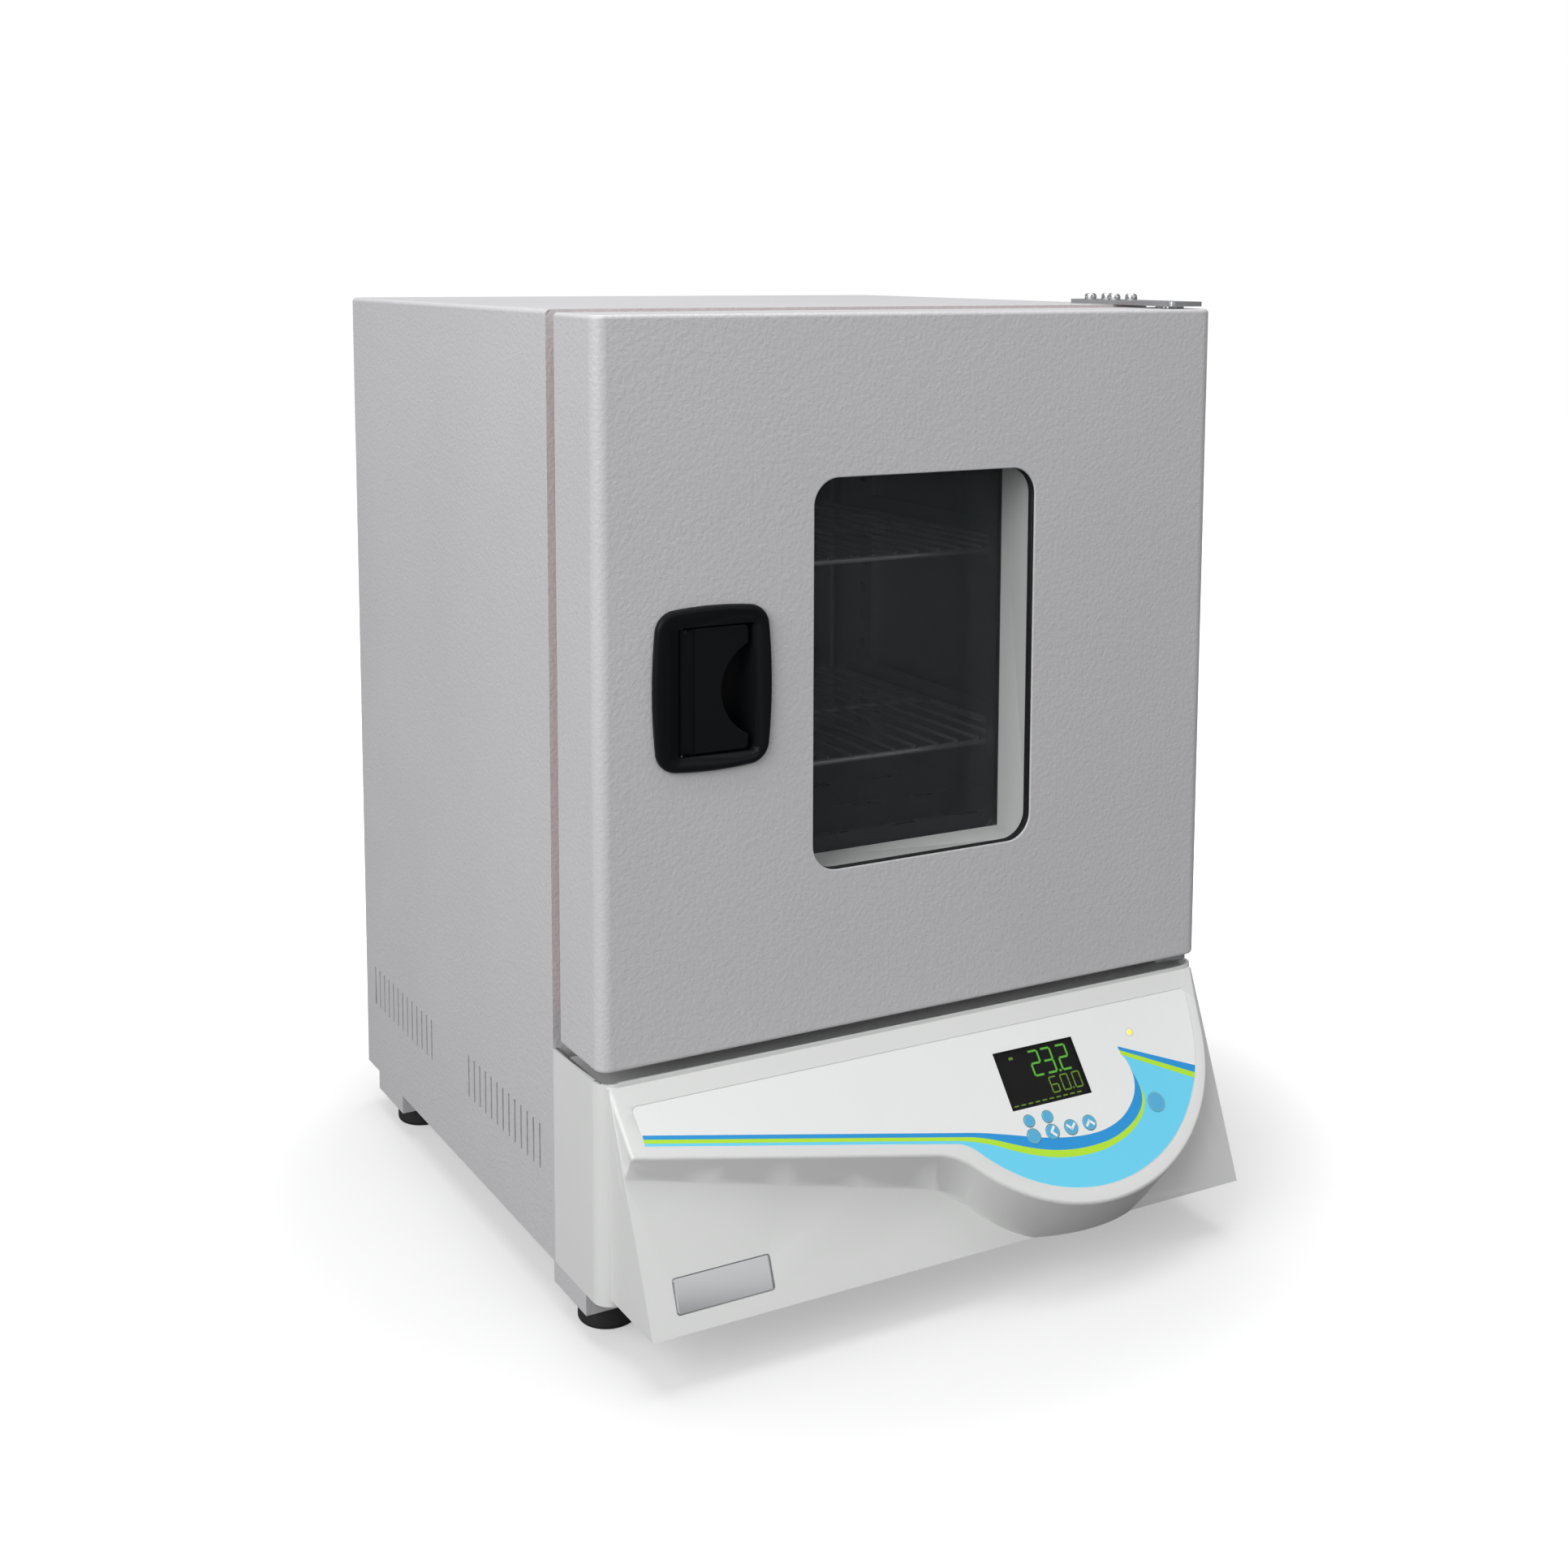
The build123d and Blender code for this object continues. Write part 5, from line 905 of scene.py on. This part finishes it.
@dataclass
class Studio:
    """Floor, lamps, white surroundings and the camera."""

    eye: Place = (-0.6640, -1.213829, 0.6248)
    yaw: float = 0.5235
    pitch: float = 0.1171
    roll: float = 0.0052
    focal: float = 2560.2
    centre: Point = (1023.35, 620.67)
    image: float = 1932.0
    sensor: float = 36.0
    nearest: float = 0.01
    aim: Place = (0.0, 0.0, 0.3)
    lamps: tuple[Lamp, ...] = (
        Lamp("lamp_left", (-2.4, -1.2, 1.7), 2.2, 62.0),
        Lamp("lamp_front", (0.6, -3.0, 1.6), 2.0, 12.0),
        Lamp("lamp_top", (0.0, 0.2, 2.8), 2.4, 46.0),
    )
    soft_light: float = 0.34
    floor_half: float = 6.0
    floor_grey: float = 0.55
    floor_bounce: float = 0.20
    floor_roughness: float = 0.9
    floor_lift: float = 0.40
    shadow_near: float = 0.30
    shadow_far: float = 0.62

    def build(self) -> None:
        """Sets the stage."""
        self.floor()
        for lamp in self.lamps:
            lamp.build(Vector(self.aim))
        self.world()
        self.camera()

    def floor(self) -> None:
        """A pale floor that takes the object's shadow."""
        mesh = bmesh.new()
        bmesh.ops.create_grid(mesh, x_segments=2, y_segments=2, size=self.floor_half)
        data = bpy.data.meshes.new("studio_floor")
        mesh.to_mesh(data)
        mesh.free()
        data.materials.append(self.floor_material())
        item = bpy.data.objects.new("studio_floor", data)
        bpy.context.scene.collection.objects.link(item)

    def floor_material(self) -> bpy.types.Material:
        """Matt grey, lifted towards white the further it lies from the oven.

        Returns:
            The floor's material.
        """
        material = bpy.data.materials.new("studio_floor")
        material.use_nodes = True
        tree = material.node_tree
        body = tree.nodes["Principled BSDF"]
        body.inputs["Roughness"].default_value = self.floor_roughness
        body.inputs["Specular IOR Level"].default_value = 0.0
        white = tree.nodes.new("ShaderNodeEmission")
        place = tree.nodes.new("ShaderNodeTexCoord")
        reach = tree.nodes.new("ShaderNodeVectorMath")
        reach.operation = "LENGTH"
        tree.links.new(place.outputs["Object"], reach.inputs[0])
        fade = tree.nodes.new("ShaderNodeMapRange")
        fade.interpolation_type = "SMOOTHSTEP"
        fade.inputs["From Min"].default_value = self.shadow_near
        fade.inputs["From Max"].default_value = self.shadow_far
        fade.inputs["To Min"].default_value = self.floor_lift
        tree.links.new(reach.outputs["Value"], fade.inputs["Value"])
        path = tree.nodes.new("ShaderNodeLightPath")
        tone = tree.nodes.new("ShaderNodeMix")
        tone.data_type = "RGBA"
        for socket, grey in (("A", self.floor_bounce), ("B", self.floor_grey)):
            tone.inputs[socket].default_value = (grey, grey, grey, 1.0)
        tree.links.new(path.outputs["Is Camera Ray"], tone.inputs["Factor"])
        tree.links.new(tone.outputs["Result"], body.inputs["Base Color"])
        seen = tree.nodes.new("ShaderNodeMath")
        seen.operation = "MULTIPLY"
        tree.links.new(path.outputs["Is Camera Ray"], seen.inputs[0])
        tree.links.new(fade.outputs["Result"], seen.inputs[1])
        tree.links.new(seen.outputs["Value"], white.inputs["Strength"])
        both = tree.nodes.new("ShaderNodeAddShader")
        tree.links.new(body.outputs["BSDF"], both.inputs[0])
        tree.links.new(white.outputs["Emission"], both.inputs[1])
        tree.links.new(both.outputs["Shader"], tree.nodes["Material Output"].inputs["Surface"])
        return material

    def world(self) -> None:
        """Even light, and white wherever the camera looks past the object."""
        world = bpy.data.worlds.new("studio_world")
        bpy.context.scene.world = world
        world.use_nodes = True
        tree = world.node_tree
        soft = tree.nodes["Background"]
        soft.inputs["Color"].default_value = (1.0, 1.0, 1.0, 1.0)
        soft.inputs["Strength"].default_value = self.soft_light
        white = tree.nodes.new("ShaderNodeBackground")
        white.inputs["Color"].default_value = (1.0, 1.0, 1.0, 1.0)
        white.inputs["Strength"].default_value = 1.0
        path = tree.nodes.new("ShaderNodeLightPath")
        choice = tree.nodes.new("ShaderNodeMixShader")
        tree.links.new(path.outputs["Is Camera Ray"], choice.inputs["Fac"])
        tree.links.new(soft.outputs["Background"], choice.inputs[1])
        tree.links.new(white.outputs["Background"], choice.inputs[2])
        tree.links.new(choice.outputs["Shader"], tree.nodes["World Output"].inputs["Surface"])

    def camera(self) -> None:
        """The photograph's point of view."""
        ahead = Vector(
            (
                math.sin(self.yaw) * math.cos(self.pitch),
                math.cos(self.yaw) * math.cos(self.pitch),
                -math.sin(self.pitch),
            )
        )
        right = ahead.cross(Vector((0.0, 0.0, 1.0))).normalized()
        above = right.cross(ahead)
        across = math.cos(self.roll) * right + math.sin(self.roll) * above
        up = -math.sin(self.roll) * right + math.cos(self.roll) * above
        turn = Matrix((across, up, -ahead)).transposed().to_4x4()
        lens = bpy.data.cameras.new("studio_camera")
        lens.sensor_width = self.sensor
        lens.lens = self.focal / self.image * self.sensor
        lens.shift_x = (self.image / 2 - self.centre[0]) / self.image
        lens.shift_y = (self.centre[1] - self.image / 2) / self.image
        lens.clip_start = self.nearest
        item = bpy.data.objects.new("studio_camera", lens)
        item.matrix_world = Matrix.Translation(Vector(self.eye)) @ turn
        bpy.context.scene.collection.objects.link(item)
        bpy.context.scene.camera = item


def main() -> None:
    """Builds the oven and the studio."""
    logging.basicConfig(level=logging.INFO, format="%(message)s")
    bpy.context.scene.view_settings.view_transform = "Standard"
    Cabinet().build()
    Door().build()
    Console().build()
    Studio().build()


if __name__ == "__main__":
    main()
